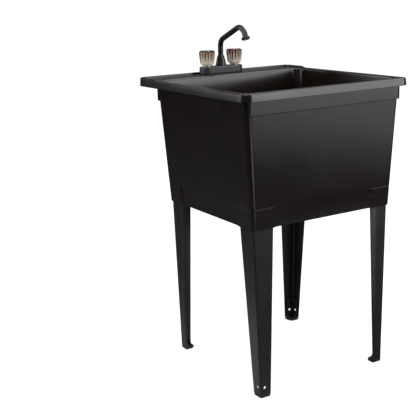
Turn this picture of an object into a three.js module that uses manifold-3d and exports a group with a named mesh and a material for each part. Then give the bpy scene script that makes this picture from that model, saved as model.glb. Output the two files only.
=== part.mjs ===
// A free-standing utility laundry sink: a moulded tub on four angle legs, with a two-knob deck faucet
// and a waste fitting. Millimetres, +Z up. The origin is on the floor under the middle of the rim, and
// the front of the sink faces -Y.

import * as THREE from 'three';
import { mergeVertices } from 'three/addons/utils/BufferGeometryUtils.js';
import Module from 'manifold-3d';

const wasm = await Module();
wasm.setup();

// ---------------------------------------------------------------------------------------------
// Driving dimensions
// ---------------------------------------------------------------------------------------------

const GAP = 0.35; // clearance between neighbouring pieces
const PAST = 5; // how far a cutter runs past what it cuts
const TURN_STEPS = 24; // sides of a turned piece
const CORNER_STEPS = 6; // steps round a corner of the tub
const EDGE_STEPS = 3; // steps across a rounded edge

// Rim and deck of the tub.
const RIM_WIDTH = 571;
const RIM_DEPTH = 587;
const RIM_HEIGHT = 860;
const RIM_CORNER = 25;
const RIM_THICKNESS = 4;
const RIM_EDGE = 3; // rounding of the rim's outer top edge
const LIP_HEIGHT = 21;
const LIP_FLARE = 2; // the lip's foot stands out past its top by this much
const SIDE_OVERHANG = 16; // rim past the band, at the front and the sides
const DECK_OVERHANG = 87; // rim past the band, at the back
const RIDGE_WIDTH = 9;
const RIDGE_HEIGHT = 4.5;
const RIDGE_LENGTH = 88.5; // full-height ridge along each side, from the back face
const RIDGE_SLOPE = 18; // run of the sloping end in front of it

// Band, body and skirt of the tub.
const BAND_HEIGHT = 38;
const BAND_STEP = 5; // band past the body under it
const BAND_CORNER = 20;
const BODY_HEIGHT = 310; // band to the foot of the skirt
const TAPER_SIDE = 22.4;
const TAPER_FRONT = 9.6;
const TAPER_BACK = 10.3;
const BODY_CORNER_TOP = 20;
const BODY_CORNER_FOOT = 12;
const SKIRT_HEIGHT = 58;
const SKIRT_WALL = 8;
const POCKET_WIDTH = 70; // leg socket, along the skirt from its corner
const POCKET_WALL = 14;
const POCKET_CORNER = 11;
const GROOVE_HEIGHT = 3; // shadow groove over the pockets and panels
const GROOVE_DEPTH = 4;
const PANEL_CREST = { below: 5, depth: 2.4 }; // the panel's shoulder, below the skirt's top line
const PANEL_WAIST = { below: 31, depth: 3.4 };
const PANEL_FOOT_DEPTH = 2;

// Bowl.
const WALL = 4;
const BOWL_CORNER = 22;
const BOWL_FILLET = 20; // between the bowl's walls and its floor
const BOWL_EDGE = 5; // rounding of the bowl's top edge
const FLOOR_FALL = 4; // from the foot of the walls down to the waste

// Legs: angle section bent from sheet.
const LEG_SHEET = 1.5;
const LEG_BEND = 5.5;
const LEG_COVER = 5; // skirt outside the leg at the skirt's foot
const LEG_WIDTH_TOP = 64.9;
const LEG_WIDTH_FOOT = 34;
const LEG_LEAN = 13; // sideways, inwards at the floor
const LEG_SPLAY = 3; // front to back, outwards at the floor
const LEG_END = 6; // the leg stops this far above the floor
const FOOT_HOLE = 7;
const FOOT_HOLE_HEIGHT = 30;
const FOOT_HOLE_IN = 15; // from the leg's corner

// Feet: corner brackets nested in the legs.
const FOOT_SHEET = 2;
const FOOT_WIDTH = 27;
const FOOT_HEIGHT = 70;
const PAD_SIZE = 33;
const PAD_THICKNESS = 5;
const PAD_CHAMFER = 10;
const GUSSET_TOP = 4;
const GUSSET_FOOT = 15;

// Faucet body on the deck.
const VALVE_SPACING = 101.6; // between the two knobs' axes
const FAUCET_TO_RIDGE = 1.3;
const FAUCET_LENGTH = 152;
const FAUCET_DEPTH = 47;
const FAUCET_HEIGHT = 19.3;
const FAUCET_END_FLAT = 1; // flat left at the middle of each rounded end
const FAUCET_EDGE = 4;
const GASKET_THICKNESS = 2;
const GASKET_INSET = 1.5;
const SEAT_HEIGHT = 6; // valve seat above the body's underside
const PASSAGE_RADIUS = 3;

// Spout.
const TUBE_RADIUS = 8.8;
const TUBE_WALL = 1.5;
const TUBE_SIDES = 14;
const TUBE_RINGS = 30;
const SPOUT_RISE = 100.4; // deck to the lower corner of the tube's centreline
const ARM_ANGLE = 22.5; // degrees above level
const SPOUT_REACH = 129; // riser to the upper corner of the centreline
const DOWN_TILT = 20; // degrees forward of plumb
const SPOUT_DROP = 48.7; // upper corner to the outlet
const LOWER_BEND = 27;
const UPPER_BEND = 33;
const COLLAR_FOOT_RADIUS = 17.5;
const COLLAR_TOP_RADIUS = 10.9;
const COLLAR_HEIGHT = 31.6;
const COLLAR_BRIM = 2; // straight foot under the cone
const ORING_HEIGHT = 2.5;
const ORING_SECTION = 1.3;
const TIP_RADIUS = 13;
const TIP_LENGTH = 8.5;
const TIP_ROUND = 2;
const AERATOR_THICKNESS = 3;
const AERATOR_HOLE = 1.6;
const AERATOR_RING = 4.2; // of holes round the middle one
const AERATOR_HOLES = 6;

// Valves and their supply shanks.
const SHANK_RADIUS = 10.4;
const SHANK_BORE = 6.5;
const SHANK_LENGTH = 54;
const DECK_HOLE_PLAY = 1.2; // hole in the deck past the shank's radius
const LOCKNUT_RADIUS = 17;
const LOCKNUT_HEIGHT = 9.5;
const VALVE_BORE = 12.4;
const WASHER_THICKNESS = 2;
const STEM_RADIUS = 4;
const STEM_FLANGE_RADIUS = 8;
const STEM_FLANGE_HEIGHT = 2.6;
const STEM_HOLE = 2.7;
const BONNET_RISE = 3.6; // bonnet above the faucet body

// Knobs.
const KNOB_LIFT = 8; // knob skirt above the faucet body
const KNOB_HEIGHT = 42;
const KNOB_TOP_RADIUS = 26;
const KNOB_FOOT_RADIUS = 22;
const KNOB_EDGE = 2;
const KNOB_ROOF = 4;
const FLUTES = 8;
const FLUTE_DEPTH = 2;
const FLUTE_STEPS = 6;
const CORE_LIFT = 4;
const CORE_RADIUS = 18;
const CORE_FLOOR = 8; // of core under the screw's head
const CAP_RADIUS = 9.5;
const CAP_DOME = 2.5;
const SCREW_RADIUS = 2.3;
const SCREW_LENGTH = 13;
const SCREW_HEAD_RADIUS = 4.5;
const SCREW_HEAD_HEIGHT = 3;
const SCREW_WELL = 7.5; // from the core's top down to the screw's seat

// Waste fitting and stopper.
const WASTE_Y = -35;
const WASTE_LAND = 56; // flat ring of floor round the waste
const WASTE_TUBE_RADIUS = 25.5;
const WASTE_BORE = 22;
const WASTE_LENGTH = 44;
const FLANGE_RADIUS = 44;
const FLANGE_THICKNESS = 3;
const MOUTH_RADIUS = 28;
const MOUTH_DEPTH = 6.5;
const GRID_LEDGE_DEPTH = 19; // of the ledge under the strainer, below the floor
const LEDGE_THICKNESS = 4;
const LEDGE_BORE = 16.5;
const GRID_THICKNESS = 2;
const GRID_HOLE = 3.6;
const GRID_HOLES = 8;
const GRID_RING = 14;
const SEAL_RADIUS = 38;
const SEAL_THICKNESS = 3;
const WASTE_WASHER_THICKNESS = 2;
const WASTE_NUT_RADIUS = 40;
const WASTE_NUT_HEIGHT = 10;
const TAIL_RADIUS = 19;
const TAIL_WALL = 1.6;
const TAIL_LENGTH = 92;
const TAIL_GRIP = 18; // of tailpiece inside the waste body
const SLIP_NUT_RADIUS = 31;
const SLIP_NUT_GRIP = 11;
const SLIP_NUT_FLOOR = 3;
const SLIP_WASHER_THICKNESS = 2.4;
const STOPPER_LIP = 3;
const STOPPER_BELOW = 5;
const STOPPER_KNOB_RADIUS = 7;
const STOPPER_NECK_RADIUS = 4.2;
const STOPPER_NECK_HEIGHT = 5.2;
const STOPPER_KNOB_HEIGHT = 13;
const STOPPER_KNOB_EDGE = 2.4;

// ---------------------------------------------------------------------------------------------
// Levels and places worked out from the driving dimensions
// ---------------------------------------------------------------------------------------------

const lipFoot = RIM_HEIGHT - LIP_HEIGHT;
const bandFoot = lipFoot - BAND_HEIGHT;
const skirtFoot = bandFoot - BODY_HEIGHT;
const skirtTop = skirtFoot + SKIRT_HEIGHT;
const floorUnder = skirtTop - WALL;
const halfRim = RIM_WIDTH / 2;
const rimBack = RIM_DEPTH / 2;

const rim = { half: halfRim, front: -rimBack, back: rimBack, radius: RIM_CORNER };
const band = {
  half: halfRim - SIDE_OVERHANG,
  front: SIDE_OVERHANG - rimBack,
  back: rimBack - DECK_OVERHANG,
  radius: BAND_CORNER,
};
const bodyTop = { ...inset(band, BAND_STEP), radius: BODY_CORNER_TOP };
const bodyFoot = {
  half: bodyTop.half - TAPER_SIDE,
  front: bodyTop.front + TAPER_FRONT,
  back: bodyTop.back - TAPER_BACK,
  radius: BODY_CORNER_FOOT,
};

const faucetY = rimBack - RIDGE_WIDTH - FAUCET_TO_RIDGE - FAUCET_DEPTH / 2;
const faucetFoot = GASKET_THICKNESS + 2 * GAP;
const faucetTop = faucetFoot + FAUCET_HEIGHT;
const seat = faucetFoot + SEAT_HEIGHT;

// ---------------------------------------------------------------------------------------------
// Shapes
// ---------------------------------------------------------------------------------------------

// A rounded-rectangle outline, drawn in by a distance on every side.
function inset(outline, distance) {
  return {
    half: outline.half - distance,
    front: outline.front + distance,
    back: outline.back - distance,
    radius: Math.max(outline.radius - distance, 1),
  };
}

// That outline as a loop of points at one height.
function roundedLoop({ half, front, back, radius }, z) {
  const corners = [[half - radius, back - radius], [radius - half, back - radius]];
  corners.push([radius - half, front + radius], [half - radius, front + radius]);
  return corners.flatMap(([x, y], quarter) => arc(x, y, radius, quarter * 90, quarter * 90 + 90, z));
}

function arc(x, y, radius, fromDegrees, toDegrees, z, steps = CORNER_STEPS) {
  return Array.from({ length: steps + 1 }, (_, step) => {
    const angle = THREE.MathUtils.degToRad(THREE.MathUtils.lerp(fromDegrees, toDegrees, step / steps));
    return new THREE.Vector3(x + radius * Math.cos(angle), y + radius * Math.sin(angle), z);
  });
}

// A closed solid through loops of points, lowest loop first, with a flat end on the first and the last.
function loft(given) {
  const loops = THREE.ShapeUtils.isClockWise(given[0]) ? given.map((loop) => loop.toReversed()) : given;
  const count = loops[0].length;
  const last = (loops.length - 1) * count;
  const faces = THREE.ShapeUtils.triangulateShape(loops[0], []).flatMap(([a, b, c]) => [a, c, b]);
  for (let ring = 0; ring < last; ring += count) {
    for (let point = 0; point < count; point += 1) {
      const a = ring + point;
      const b = ring + ((point + 1) % count);
      faces.push(a, b, b + count, a, b + count, a + count);
    }
  }
  faces.push(...THREE.ShapeUtils.triangulateShape(loops.at(-1), []).flat().map((corner) => corner + last));
  const geometry = new THREE.BufferGeometry().setFromPoints(loops.flat());
  return geometry.setIndex(faces);
}

// A profile of [radius, height] pairs turned round the Z axis and closed on itself.
function turned(profile, steps = TURN_STEPS) {
  const points = [...profile, profile[0]].map(([radius, z]) => new THREE.Vector2(radius, z));
  return new THREE.LatheGeometry(points, steps).rotateX(Math.PI / 2);
}

function rod(radius, from, to, steps = TURN_STEPS) {
  return turned([[0, from], [radius, from], [radius, to], [0, to]], steps);
}

function sleeve(inner, outer, from, to) {
  return turned([[inner, from], [outer, from], [outer, to], [inner, to]]);
}

// An outline drawn in the YZ plane, run along X across the whole tub.
function prismAlongX(shape) {
  const geometry = new THREE.ExtrudeGeometry(shape, { depth: RIM_WIDTH, bevelEnabled: false, curveSegments: 4 });
  const axes = new THREE.Matrix4().makeBasis(
    new THREE.Vector3(0, 1, 0), new THREE.Vector3(0, 0, 1), new THREE.Vector3(1, 0, 0),
  );
  return geometry.applyMatrix4(axes).translate(-halfRim, 0, 0);
}

// An outline drawn in the XZ plane, run along Y across the whole tub.
function prismAlongY(shape) {
  return prismAlongX(shape).rotateZ(-Math.PI / 2);
}

// ---------------------------------------------------------------------------------------------
// Cutting and joining
// ---------------------------------------------------------------------------------------------

// A closed geometry as a solid, with its shared vertices merged and its collapsed faces dropped.
function solid(geometry) {
  const bare = geometry.clone();
  bare.deleteAttribute('normal');
  bare.deleteAttribute('uv');
  const merged = mergeVertices(bare);
  const corners = merged.index.array;
  const kept = [];
  for (let face = 0; face < corners.length; face += 3) {
    const [a, b, c] = corners.slice(face, face + 3);
    if (a !== b && b !== c && c !== a) kept.push(a, b, c);
  }
  const vertProperties = Float32Array.from(merged.attributes.position.array);
  if (signedVolume(vertProperties, kept) < 0) kept.reverse();
  return new wasm.Manifold(new wasm.Mesh({ numProp: 3, vertProperties, triVerts: Uint32Array.from(kept) }));
}

function signedVolume(points, faces) {
  const corner = (index) => new THREE.Vector3().fromArray(points, 3 * index);
  let total = 0;
  for (let face = 0; face < faces.length; face += 3) {
    const [a, b, c] = faces.slice(face, face + 3).map(corner);
    total += a.dot(b.cross(c));
  }
  return total;
}

function join(...geometries) {
  return geometries.map(solid).reduce((whole, next) => whole.add(next));
}

// A disc with one cut in its middle and a ring of the same cuts round it.
function ringOfCuts(disc, makeCutter, radius, count) {
  let body = disc.subtract(solid(makeCutter()));
  for (let index = 0; index < count; index += 1) {
    const cutter = makeCutter().translate(radius, 0, 0).rotateZ((index * 2 * Math.PI) / count);
    body = body.subtract(solid(cutter));
  }
  return body;
}

// A named mesh from a solid.
function piece(name, body, material) {
  const { vertProperties, triVerts } = body.getMesh();
  const geometry = new THREE.BufferGeometry();
  geometry.setAttribute('position', new THREE.BufferAttribute(vertProperties, 3));
  geometry.setIndex(new THREE.BufferAttribute(triVerts, 1));
  geometry.computeVertexNormals();
  const mesh = new THREE.Mesh(geometry, material);
  mesh.name = name;
  return mesh;
}

// ---------------------------------------------------------------------------------------------
// Materials
// ---------------------------------------------------------------------------------------------

function finish(color, roughness, metalness = 0) {
  return new THREE.MeshStandardMaterial({ color, roughness, metalness, flatShading: true });
}

const tubPlastic = finish('#2f2d2d', 0.45);
const legCoat = finish('#2d2d2e', 0.5);
const footCoat = finish('#3a3a3b', 0.5);
const faucetPlastic = finish('#454547', 0.5);
const spoutCoat = finish('#3a3a3b', 0.4);
const smokyAcrylic = finish('#5a4a40', 0.1);
const creamPlastic = finish('#d9cdb4', 0.5);
const pinkPlastic = finish('#d8b0a4', 0.4);
const brass = finish('#b08d57', 0.3, 1);
const steel = finish('#b8b8ba', 0.3, 1);
const rubber = finish('#1c1c1c', 0.9);
const whitePlastic = finish('#e4e4e0', 0.5);

// ---------------------------------------------------------------------------------------------
// Tub
// ---------------------------------------------------------------------------------------------

// The outside of the tapering body at a height.
function bodyAt(z) {
  const share = (z - skirtFoot) / BODY_HEIGHT;
  const side = (key) => THREE.MathUtils.lerp(bodyFoot[key], bodyTop[key], share);
  return { half: side('half'), front: side('front'), back: side('back'), radius: side('radius') };
}

// The outside runs up the body, steps out to the band, then out to the lip and over its rounded top.
function tubOutside() {
  const loops = [
    roundedLoop(bodyFoot, skirtFoot),
    roundedLoop(bodyTop, bandFoot),
    roundedLoop(band, bandFoot),
    roundedLoop(band, lipFoot),
    roundedLoop(rim, lipFoot),
  ];
  for (let step = 0; step <= EDGE_STEPS; step += 1) {
    const turn = (step / EDGE_STEPS) * (Math.PI / 2);
    const drawnIn = inset(rimTop, RIM_EDGE * (1 - Math.cos(turn)));
    loops.push(roundedLoop({ ...drawnIn, back: rimBack }, RIM_HEIGHT - RIM_EDGE * (1 - Math.sin(turn))));
  }
  return loft(loops);
}

const rimTop = { ...inset(rim, LIP_FLARE), back: rimBack };

// The ridge follows the rim's outline round the back and slopes down to the rim on each side.
function ridge() {
  const foot = RIM_HEIGHT - RIM_EDGE;
  const top = RIM_HEIGHT + RIDGE_HEIGHT;
  const inner = inset(rimTop, RIDGE_WIDTH);
  const ring = solid(loft([roundedLoop(rimTop, foot), roundedLoop(rimTop, top)]))
    .subtract(solid(loft([roundedLoop(inner, foot - PAST), roundedLoop(inner, top + PAST)])));
  const slopeTop = rimBack - RIDGE_LENGTH;
  const side = new THREE.Shape();
  side.moveTo(slopeTop - RIDGE_SLOPE, foot - PAST);
  side.lineTo(rimBack + PAST, foot - PAST);
  side.lineTo(rimBack + PAST, top);
  side.lineTo(slopeTop, top);
  side.lineTo(slopeTop - RIDGE_SLOPE, RIM_HEIGHT);
  return ring.intersect(solid(prismAlongX(side)));
}

// The bowl runs from a flat land round the waste, up a sloping floor, a fillet and the walls, to a
// rounded top edge.
function bowl() {
  const land = {
    half: WASTE_LAND, front: WASTE_Y - WASTE_LAND, back: WASTE_Y + WASTE_LAND, radius: WASTE_LAND,
  };
  const insideAt = (z) => ({ ...inset(bodyAt(Math.min(z, bandFoot)), WALL), radius: BOWL_CORNER });
  const loops = [roundedLoop(land, skirtTop)];
  for (let step = 0; step <= 2 * EDGE_STEPS; step += 1) {
    const turn = (step / (2 * EDGE_STEPS)) * (Math.PI / 2);
    const z = skirtTop + FLOOR_FALL + BOWL_FILLET * (1 - Math.cos(turn));
    loops.push(roundedLoop(inset(insideAt(z), BOWL_FILLET * (1 - Math.sin(turn))), z));
  }
  loops.push(roundedLoop(insideAt(bandFoot), bandFoot));
  for (let step = 0; step <= EDGE_STEPS; step += 1) {
    const turn = (step / EDGE_STEPS) * (Math.PI / 2);
    const z = RIM_HEIGHT - BOWL_EDGE * (1 - Math.sin(turn));
    loops.push(roundedLoop(inset(insideAt(z), -BOWL_EDGE * (1 - Math.cos(turn))), z));
  }
  loops.push(roundedLoop(inset(insideAt(RIM_HEIGHT), -BOWL_EDGE), RIM_HEIGHT + PAST));
  return loft(loops);
}

// The rim is open underneath, between its lip and the band.
function rimChannel() {
  const inner = inset(rim, RIM_THICKNESS);
  const top = RIM_HEIGHT - RIM_THICKNESS;
  return solid(loft([roundedLoop(inner, lipFoot - PAST), roundedLoop(inner, top)]))
    .subtract(solid(loft([roundedLoop(band, lipFoot - 2 * PAST), roundedLoop(band, top + PAST)])));
}

// One opening between two pockets, as an outline across a side of the tub: a window from below the
// skirt to the groove, which runs on over the pockets' rounded corners.
function skirtWindow(from, to) {
  const grooveFoot = skirtTop - GROOVE_HEIGHT;
  const bend = POCKET_CORNER;
  const shape = new THREE.Shape();
  shape.moveTo(from, skirtFoot - 2 * PAST);
  shape.lineTo(to, skirtFoot - 2 * PAST);
  shape.lineTo(to, grooveFoot - bend);
  shape.absarc(to + bend, grooveFoot - bend, bend, Math.PI, Math.PI / 2, true);
  shape.lineTo(to + POCKET_WIDTH + PAST, grooveFoot);
  shape.lineTo(to + POCKET_WIDTH + PAST, skirtTop);
  shape.lineTo(from - POCKET_WIDTH - PAST, skirtTop);
  shape.lineTo(from - POCKET_WIDTH - PAST, grooveFoot);
  shape.lineTo(from - bend, grooveFoot);
  shape.absarc(from - bend, grooveFoot - bend, bend, Math.PI / 2, 0, true);
  return shape;
}

function skirtWindows(pocket) {
  const across = skirtWindow(pocket - bodyFoot.half, bodyFoot.half - pocket);
  const along = skirtWindow(bodyFoot.front + pocket, bodyFoot.back - pocket);
  return join(prismAlongY(across), prismAlongX(along));
}

// The panels between the pockets sit in from the skirt's surface, with a shoulder under the groove.
function skirtPanels() {
  const outer = [skirtFoot - PAST, skirtTop].map((z) => roundedLoop(inset(bodyAt(z), -PAST), z));
  const depths = [
    [skirtFoot - 2 * PAST, PANEL_FOOT_DEPTH],
    [skirtTop - PANEL_WAIST.below, PANEL_WAIST.depth],
    [skirtTop - PANEL_CREST.below, PANEL_CREST.depth],
    [skirtTop - GROOVE_HEIGHT, GROOVE_DEPTH],
    [skirtTop + PAST, GROOVE_DEPTH],
  ];
  const inner = depths.map(([z, depth]) => roundedLoop(inset(bodyAt(z), depth), z));
  return solid(loft(outer)).subtract(solid(loft(inner))).intersect(skirtWindows(POCKET_WIDTH));
}

// Under the floor the skirt is hollow, with thicker walls at the leg sockets.
function skirtHollow() {
  const levels = [skirtFoot - PAST, floorUnder];
  const [thick, thin] = [POCKET_WALL, SKIRT_WALL].map((wall) => (
    solid(loft(levels.map((z) => roundedLoop(inset(bodyAt(z), wall), z))))
  ));
  const inner = inset(bodyFoot, POCKET_WIDTH + SKIRT_WALL);
  const [across, along] = [[-inner.half, inner.half], [inner.front, inner.back]].map(([from, to]) => {
    const foot = skirtFoot - 2 * PAST;
    const outline = [[from, foot], [to, foot], [to, skirtTop], [from, skirtTop]];
    return new THREE.Shape(outline.map(([run, rise]) => new THREE.Vector2(run, rise)));
  });
  return thick.add(thin.intersect(join(prismAlongY(across), prismAlongX(along))));
}

function makeTub() {
  let body = solid(tubOutside()).add(ridge());
  body = body.subtract(rimChannel()).subtract(solid(bowl()));
  body = body.subtract(skirtPanels()).subtract(skirtHollow());
  for (const corner of legCorners) {
    const slot = legAngle(corner, GAP, skirtFoot - 2 * PAST, legTop + GAP);
    body = body.subtract(solid(slot.translate(corner.x, corner.y, 0)));
  }
  for (const side of [-1, 1]) {
    const hole = rod(SHANK_RADIUS + DECK_HOLE_PLAY, lipFoot, RIM_HEIGHT + PAST);
    body = body.subtract(solid(hole.translate((side * VALVE_SPACING) / 2, faucetY, 0)));
  }
  const wasteHole = rod(WASTE_TUBE_RADIUS + GAP, skirtFoot, skirtTop + PAST);
  body = body.subtract(solid(wasteHole.translate(0, WASTE_Y, 0)));
  return piece('tub', body, tubPlastic);
}

// ---------------------------------------------------------------------------------------------
// Legs and feet
// ---------------------------------------------------------------------------------------------

const legTop = floorUnder - GAP;

// The four corners, each with the place of the leg's outer corner at the floor.
const legCorners = [['front_left', -1, -1], ['front_right', 1, -1], ['rear_left', -1, 1], ['rear_right', 1, 1]]
  .map(([name, signX, signY]) => ({
    name,
    signX,
    signY,
    x: signX * (bodyFoot.half - LEG_COVER - LEG_LEAN),
    y: (signY < 0 ? bodyFoot.front : bodyFoot.back) + signY * (LEG_SPLAY - LEG_COVER),
  }));

// An angle section with a bent corner. Its outer corner is at the leg's corner moved in by an offset,
// and each flange runs in from it.
function angleLoop({ signX, signY }, z, { offset, width, sheet, bend }) {
  const steps = 3;
  const outer = arc(bend, bend, bend, 270, 180, z, steps);
  const inner = arc(bend, bend, bend - sheet, 180, 270, z, steps);
  const local = [new THREE.Vector3(width, 0, z), ...outer, new THREE.Vector3(0, width, z)];
  local.push(new THREE.Vector3(sheet, width, z), ...inner, new THREE.Vector3(width, sheet, z));
  const climb = z / skirtFoot;
  return local.map((point) => new THREE.Vector3(
    signX * (LEG_LEAN * climb - offset - point.x),
    signY * (-LEG_SPLAY * climb - offset - point.y),
    z,
  ));
}

// The leg widens up to the skirt and keeps its width inside the socket.
function legAngle(corner, grow, from, to) {
  const loops = [...new Set([from, Math.min(skirtFoot, to), to])].map((z) => {
    const climb = Math.min(z / skirtFoot, 1);
    const width = THREE.MathUtils.lerp(LEG_WIDTH_FOOT, LEG_WIDTH_TOP, climb);
    const section = { offset: -grow, width: width + 2 * grow, sheet: LEG_SHEET + 2 * grow, bend: LEG_BEND + grow };
    return angleLoop(corner, z, section);
  });
  return loft(loops);
}

// Cutters for the holes through both flanges of a leg and the foot behind them.
function footHoles({ signX, signY }) {
  const reach = LEG_LEAN + LEG_SPLAY + LEG_SHEET + FOOT_SHEET + PAST;
  const hole = () => rod(FOOT_HOLE / 2, -reach, reach, 12);
  return [
    hole().rotateX(Math.PI / 2).translate(-signX * FOOT_HOLE_IN, 0, FOOT_HOLE_HEIGHT),
    hole().rotateY(Math.PI / 2).translate(0, -signY * FOOT_HOLE_IN, FOOT_HOLE_HEIGHT),
  ].map(solid);
}

function makeLeg(corner) {
  let body = solid(legAngle(corner, 0, LEG_END, legTop));
  for (const hole of footHoles(corner)) body = body.subtract(hole);
  const leg = piece(`leg_${corner.name}`, body, legCoat);
  leg.position.set(corner.x, corner.y, 0);
  return leg;
}

// The two walls of the bracket, its floor pad, and a gusset folded in at each wall's free edge.
function makeFoot(corner) {
  const { signX, signY } = corner;
  const offset = LEG_SHEET + GAP;
  const section = { offset, width: FOOT_WIDTH, sheet: FOOT_SHEET, bend: LEG_BEND - offset };
  const walls = loft([PAD_THICKNESS / 2, FOOT_HEIGHT].map((z) => angleLoop(corner, z, section)));

  const near = PAD_SIZE - PAD_CHAMFER;
  const padLoop = (z) => [
    ...arc(LEG_BEND, LEG_BEND, LEG_BEND, 180, 270, z, 3),
    new THREE.Vector3(PAD_SIZE, 0, z),
    new THREE.Vector3(PAD_SIZE, near, z),
    new THREE.Vector3(near, PAD_SIZE, z),
    new THREE.Vector3(0, PAD_SIZE, z),
  ].map((point) => new THREE.Vector3(-signX * point.x, -signY * point.y, z));
  const pad = loft([padLoop(0), padLoop(PAD_THICKNESS)]);

  const gussets = [false, true].map((swapped) => {
    const loops = [[PAD_THICKNESS / 2, GUSSET_FOOT], [FOOT_HEIGHT, GUSSET_TOP]].map(([z, depth]) => {
      const climb = z / skirtFoot;
      const edge = offset + FOOT_WIDTH;
      const spots = [[edge - FOOT_SHEET, offset], [edge, offset]];
      spots.push([edge, offset + FOOT_SHEET + depth], [edge - FOOT_SHEET, offset + FOOT_SHEET + depth]);
      return spots.map(([run, rise]) => new THREE.Vector3(
        signX * (LEG_LEAN * climb - (swapped ? rise : run)),
        signY * (-LEG_SPLAY * climb - (swapped ? run : rise)),
        z,
      ));
    });
    return loft(loops);
  });

  let body = join(walls, pad, ...gussets);
  for (const hole of footHoles(corner)) body = body.subtract(hole);
  const foot = piece(`foot_${corner.name}`, body, footCoat);
  foot.position.set(corner.x, corner.y, 0);
  return foot;
}

// ---------------------------------------------------------------------------------------------
// Faucet body and gasket, with their origin on the deck under the spout's axis
// ---------------------------------------------------------------------------------------------

const faucetPlan = {
  half: FAUCET_LENGTH / 2,
  front: -FAUCET_DEPTH / 2,
  back: FAUCET_DEPTH / 2,
  radius: FAUCET_DEPTH / 2 - FAUCET_END_FLAT,
};
const oringTop = faucetTop - 2 * GAP;
const spoutBore = TUBE_RADIUS + ORING_SECTION + 2 * GAP;

function atEachValve(makeCutter) {
  return [-1, 1].map((side) => solid(makeCutter().translate((side * VALVE_SPACING) / 2, 0, 0)));
}

function makeFaucetBody() {
  const loops = [roundedLoop(faucetPlan, faucetFoot)];
  for (let step = 0; step <= EDGE_STEPS; step += 1) {
    const turn = (step / EDGE_STEPS) * (Math.PI / 2);
    const drawnIn = inset(faucetPlan, FAUCET_EDGE * (1 - Math.cos(turn)));
    loops.push(roundedLoop(drawnIn, faucetTop - FAUCET_EDGE * (1 - Math.sin(turn))));
  }
  let body = solid(loft(loops));
  const shankHoles = atEachValve(() => rod(SHANK_RADIUS + GAP, faucetFoot - PAST, seat + GAP));
  const chambers = atEachValve(() => rod(VALVE_BORE, seat, faucetTop + PAST));
  const passage = rod(PASSAGE_RADIUS, -VALVE_SPACING / 2, VALVE_SPACING / 2, 12)
    .rotateY(Math.PI / 2)
    .translate(0, 0, seat + PASSAGE_RADIUS);
  const outlet = rod(spoutBore, seat, faucetTop + PAST);
  for (const cutter of [...shankHoles, ...chambers, solid(passage), solid(outlet)]) {
    body = body.subtract(cutter);
  }
  return piece('faucet_body', body, faucetPlastic);
}

function makeFaucetGasket() {
  const plan = inset(faucetPlan, GASKET_INSET);
  let body = solid(loft([roundedLoop(plan, GAP), roundedLoop(plan, GAP + GASKET_THICKNESS)]));
  for (const hole of atEachValve(() => rod(SHANK_RADIUS + GAP, -PAST, faucetFoot + PAST))) {
    body = body.subtract(hole);
  }
  return piece('faucet_gasket', body, rubber);
}

// ---------------------------------------------------------------------------------------------
// Spout, with its origin on the deck on its own swivel axis
// ---------------------------------------------------------------------------------------------

const armAngle = THREE.MathUtils.degToRad(ARM_ANGLE);
const downTilt = THREE.MathUtils.degToRad(DOWN_TILT);
const lowerCorner = new THREE.Vector3(0, 0, SPOUT_RISE);
const upperCorner = new THREE.Vector3(0, -SPOUT_REACH, SPOUT_RISE + SPOUT_REACH * Math.tan(armAngle));
const tubeFoot = new THREE.Vector3(0, 0, oringTop - ORING_HEIGHT - 2 * GAP);
const downward = new THREE.Vector3(0, -Math.sin(downTilt), -Math.cos(downTilt));
const outletEnd = upperCorner.clone().addScaledVector(downward, SPOUT_DROP);

// A path with straight runs between its points and a round bend at each inner point.
function bentPath(points, bends) {
  const path = new THREE.CurvePath();
  let from = points[0];
  for (let turn = 0; turn < bends.length; turn += 1) {
    const corner = points[turn + 1];
    const back = points[turn].clone().sub(corner).normalize();
    const on = points[turn + 2].clone().sub(corner).normalize();
    const half = back.angleTo(on) / 2;
    const start = corner.clone().addScaledVector(back, bends[turn] / Math.tan(half));
    const end = corner.clone().addScaledVector(on, bends[turn] / Math.tan(half));
    const middle = back.clone().add(on).normalize().multiplyScalar(bends[turn] / Math.sin(half)).add(corner);
    path.add(new THREE.LineCurve3(from, start));
    path.add(new RoundBend(middle, start, end));
    from = end;
  }
  path.add(new THREE.LineCurve3(from, points.at(-1)));
  return path;
}

// The short arc about a centre from one point to another.
class RoundBend extends THREE.Curve {
  constructor(centre, start, end) {
    super();
    this.centre = centre;
    this.from = start.clone().sub(centre);
    this.angle = this.from.angleTo(end.clone().sub(centre));
    this.axis = this.from.clone().cross(end.clone().sub(centre)).normalize();
  }

  getPoint(share, target = new THREE.Vector3()) {
    return target.copy(this.from).applyAxisAngle(this.axis, this.angle * share).add(this.centre);
  }
}

function makeSpoutTube() {
  const section = new THREE.Shape(ringPoints(TUBE_RADIUS));
  section.holes.push(new THREE.Path(ringPoints(TUBE_RADIUS - TUBE_WALL).reverse()));
  const extrudePath = bentPath([tubeFoot, lowerCorner, upperCorner, outletEnd], [LOWER_BEND, UPPER_BEND]);
  const tube = new THREE.ExtrudeGeometry(section, { steps: TUBE_RINGS, extrudePath });
  return piece('spout_tube', solid(tube), spoutCoat);
}

function ringPoints(radius) {
  return Array.from({ length: TUBE_SIDES }, (_, side) => {
    const angle = (side / TUBE_SIDES) * 2 * Math.PI;
    return new THREE.Vector2(radius * Math.cos(angle), radius * Math.sin(angle));
  });
}

function makeSpoutCollar() {
  const bore = TUBE_RADIUS + GAP;
  const foot = faucetTop + GAP;
  const profile = [[bore, foot], [COLLAR_FOOT_RADIUS, foot], [COLLAR_FOOT_RADIUS, foot + COLLAR_BRIM]];
  profile.push([COLLAR_TOP_RADIUS, foot + COLLAR_HEIGHT], [bore, foot + COLLAR_HEIGHT]);
  return piece('spout_collar', solid(turned(profile)), spoutCoat);
}

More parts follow.
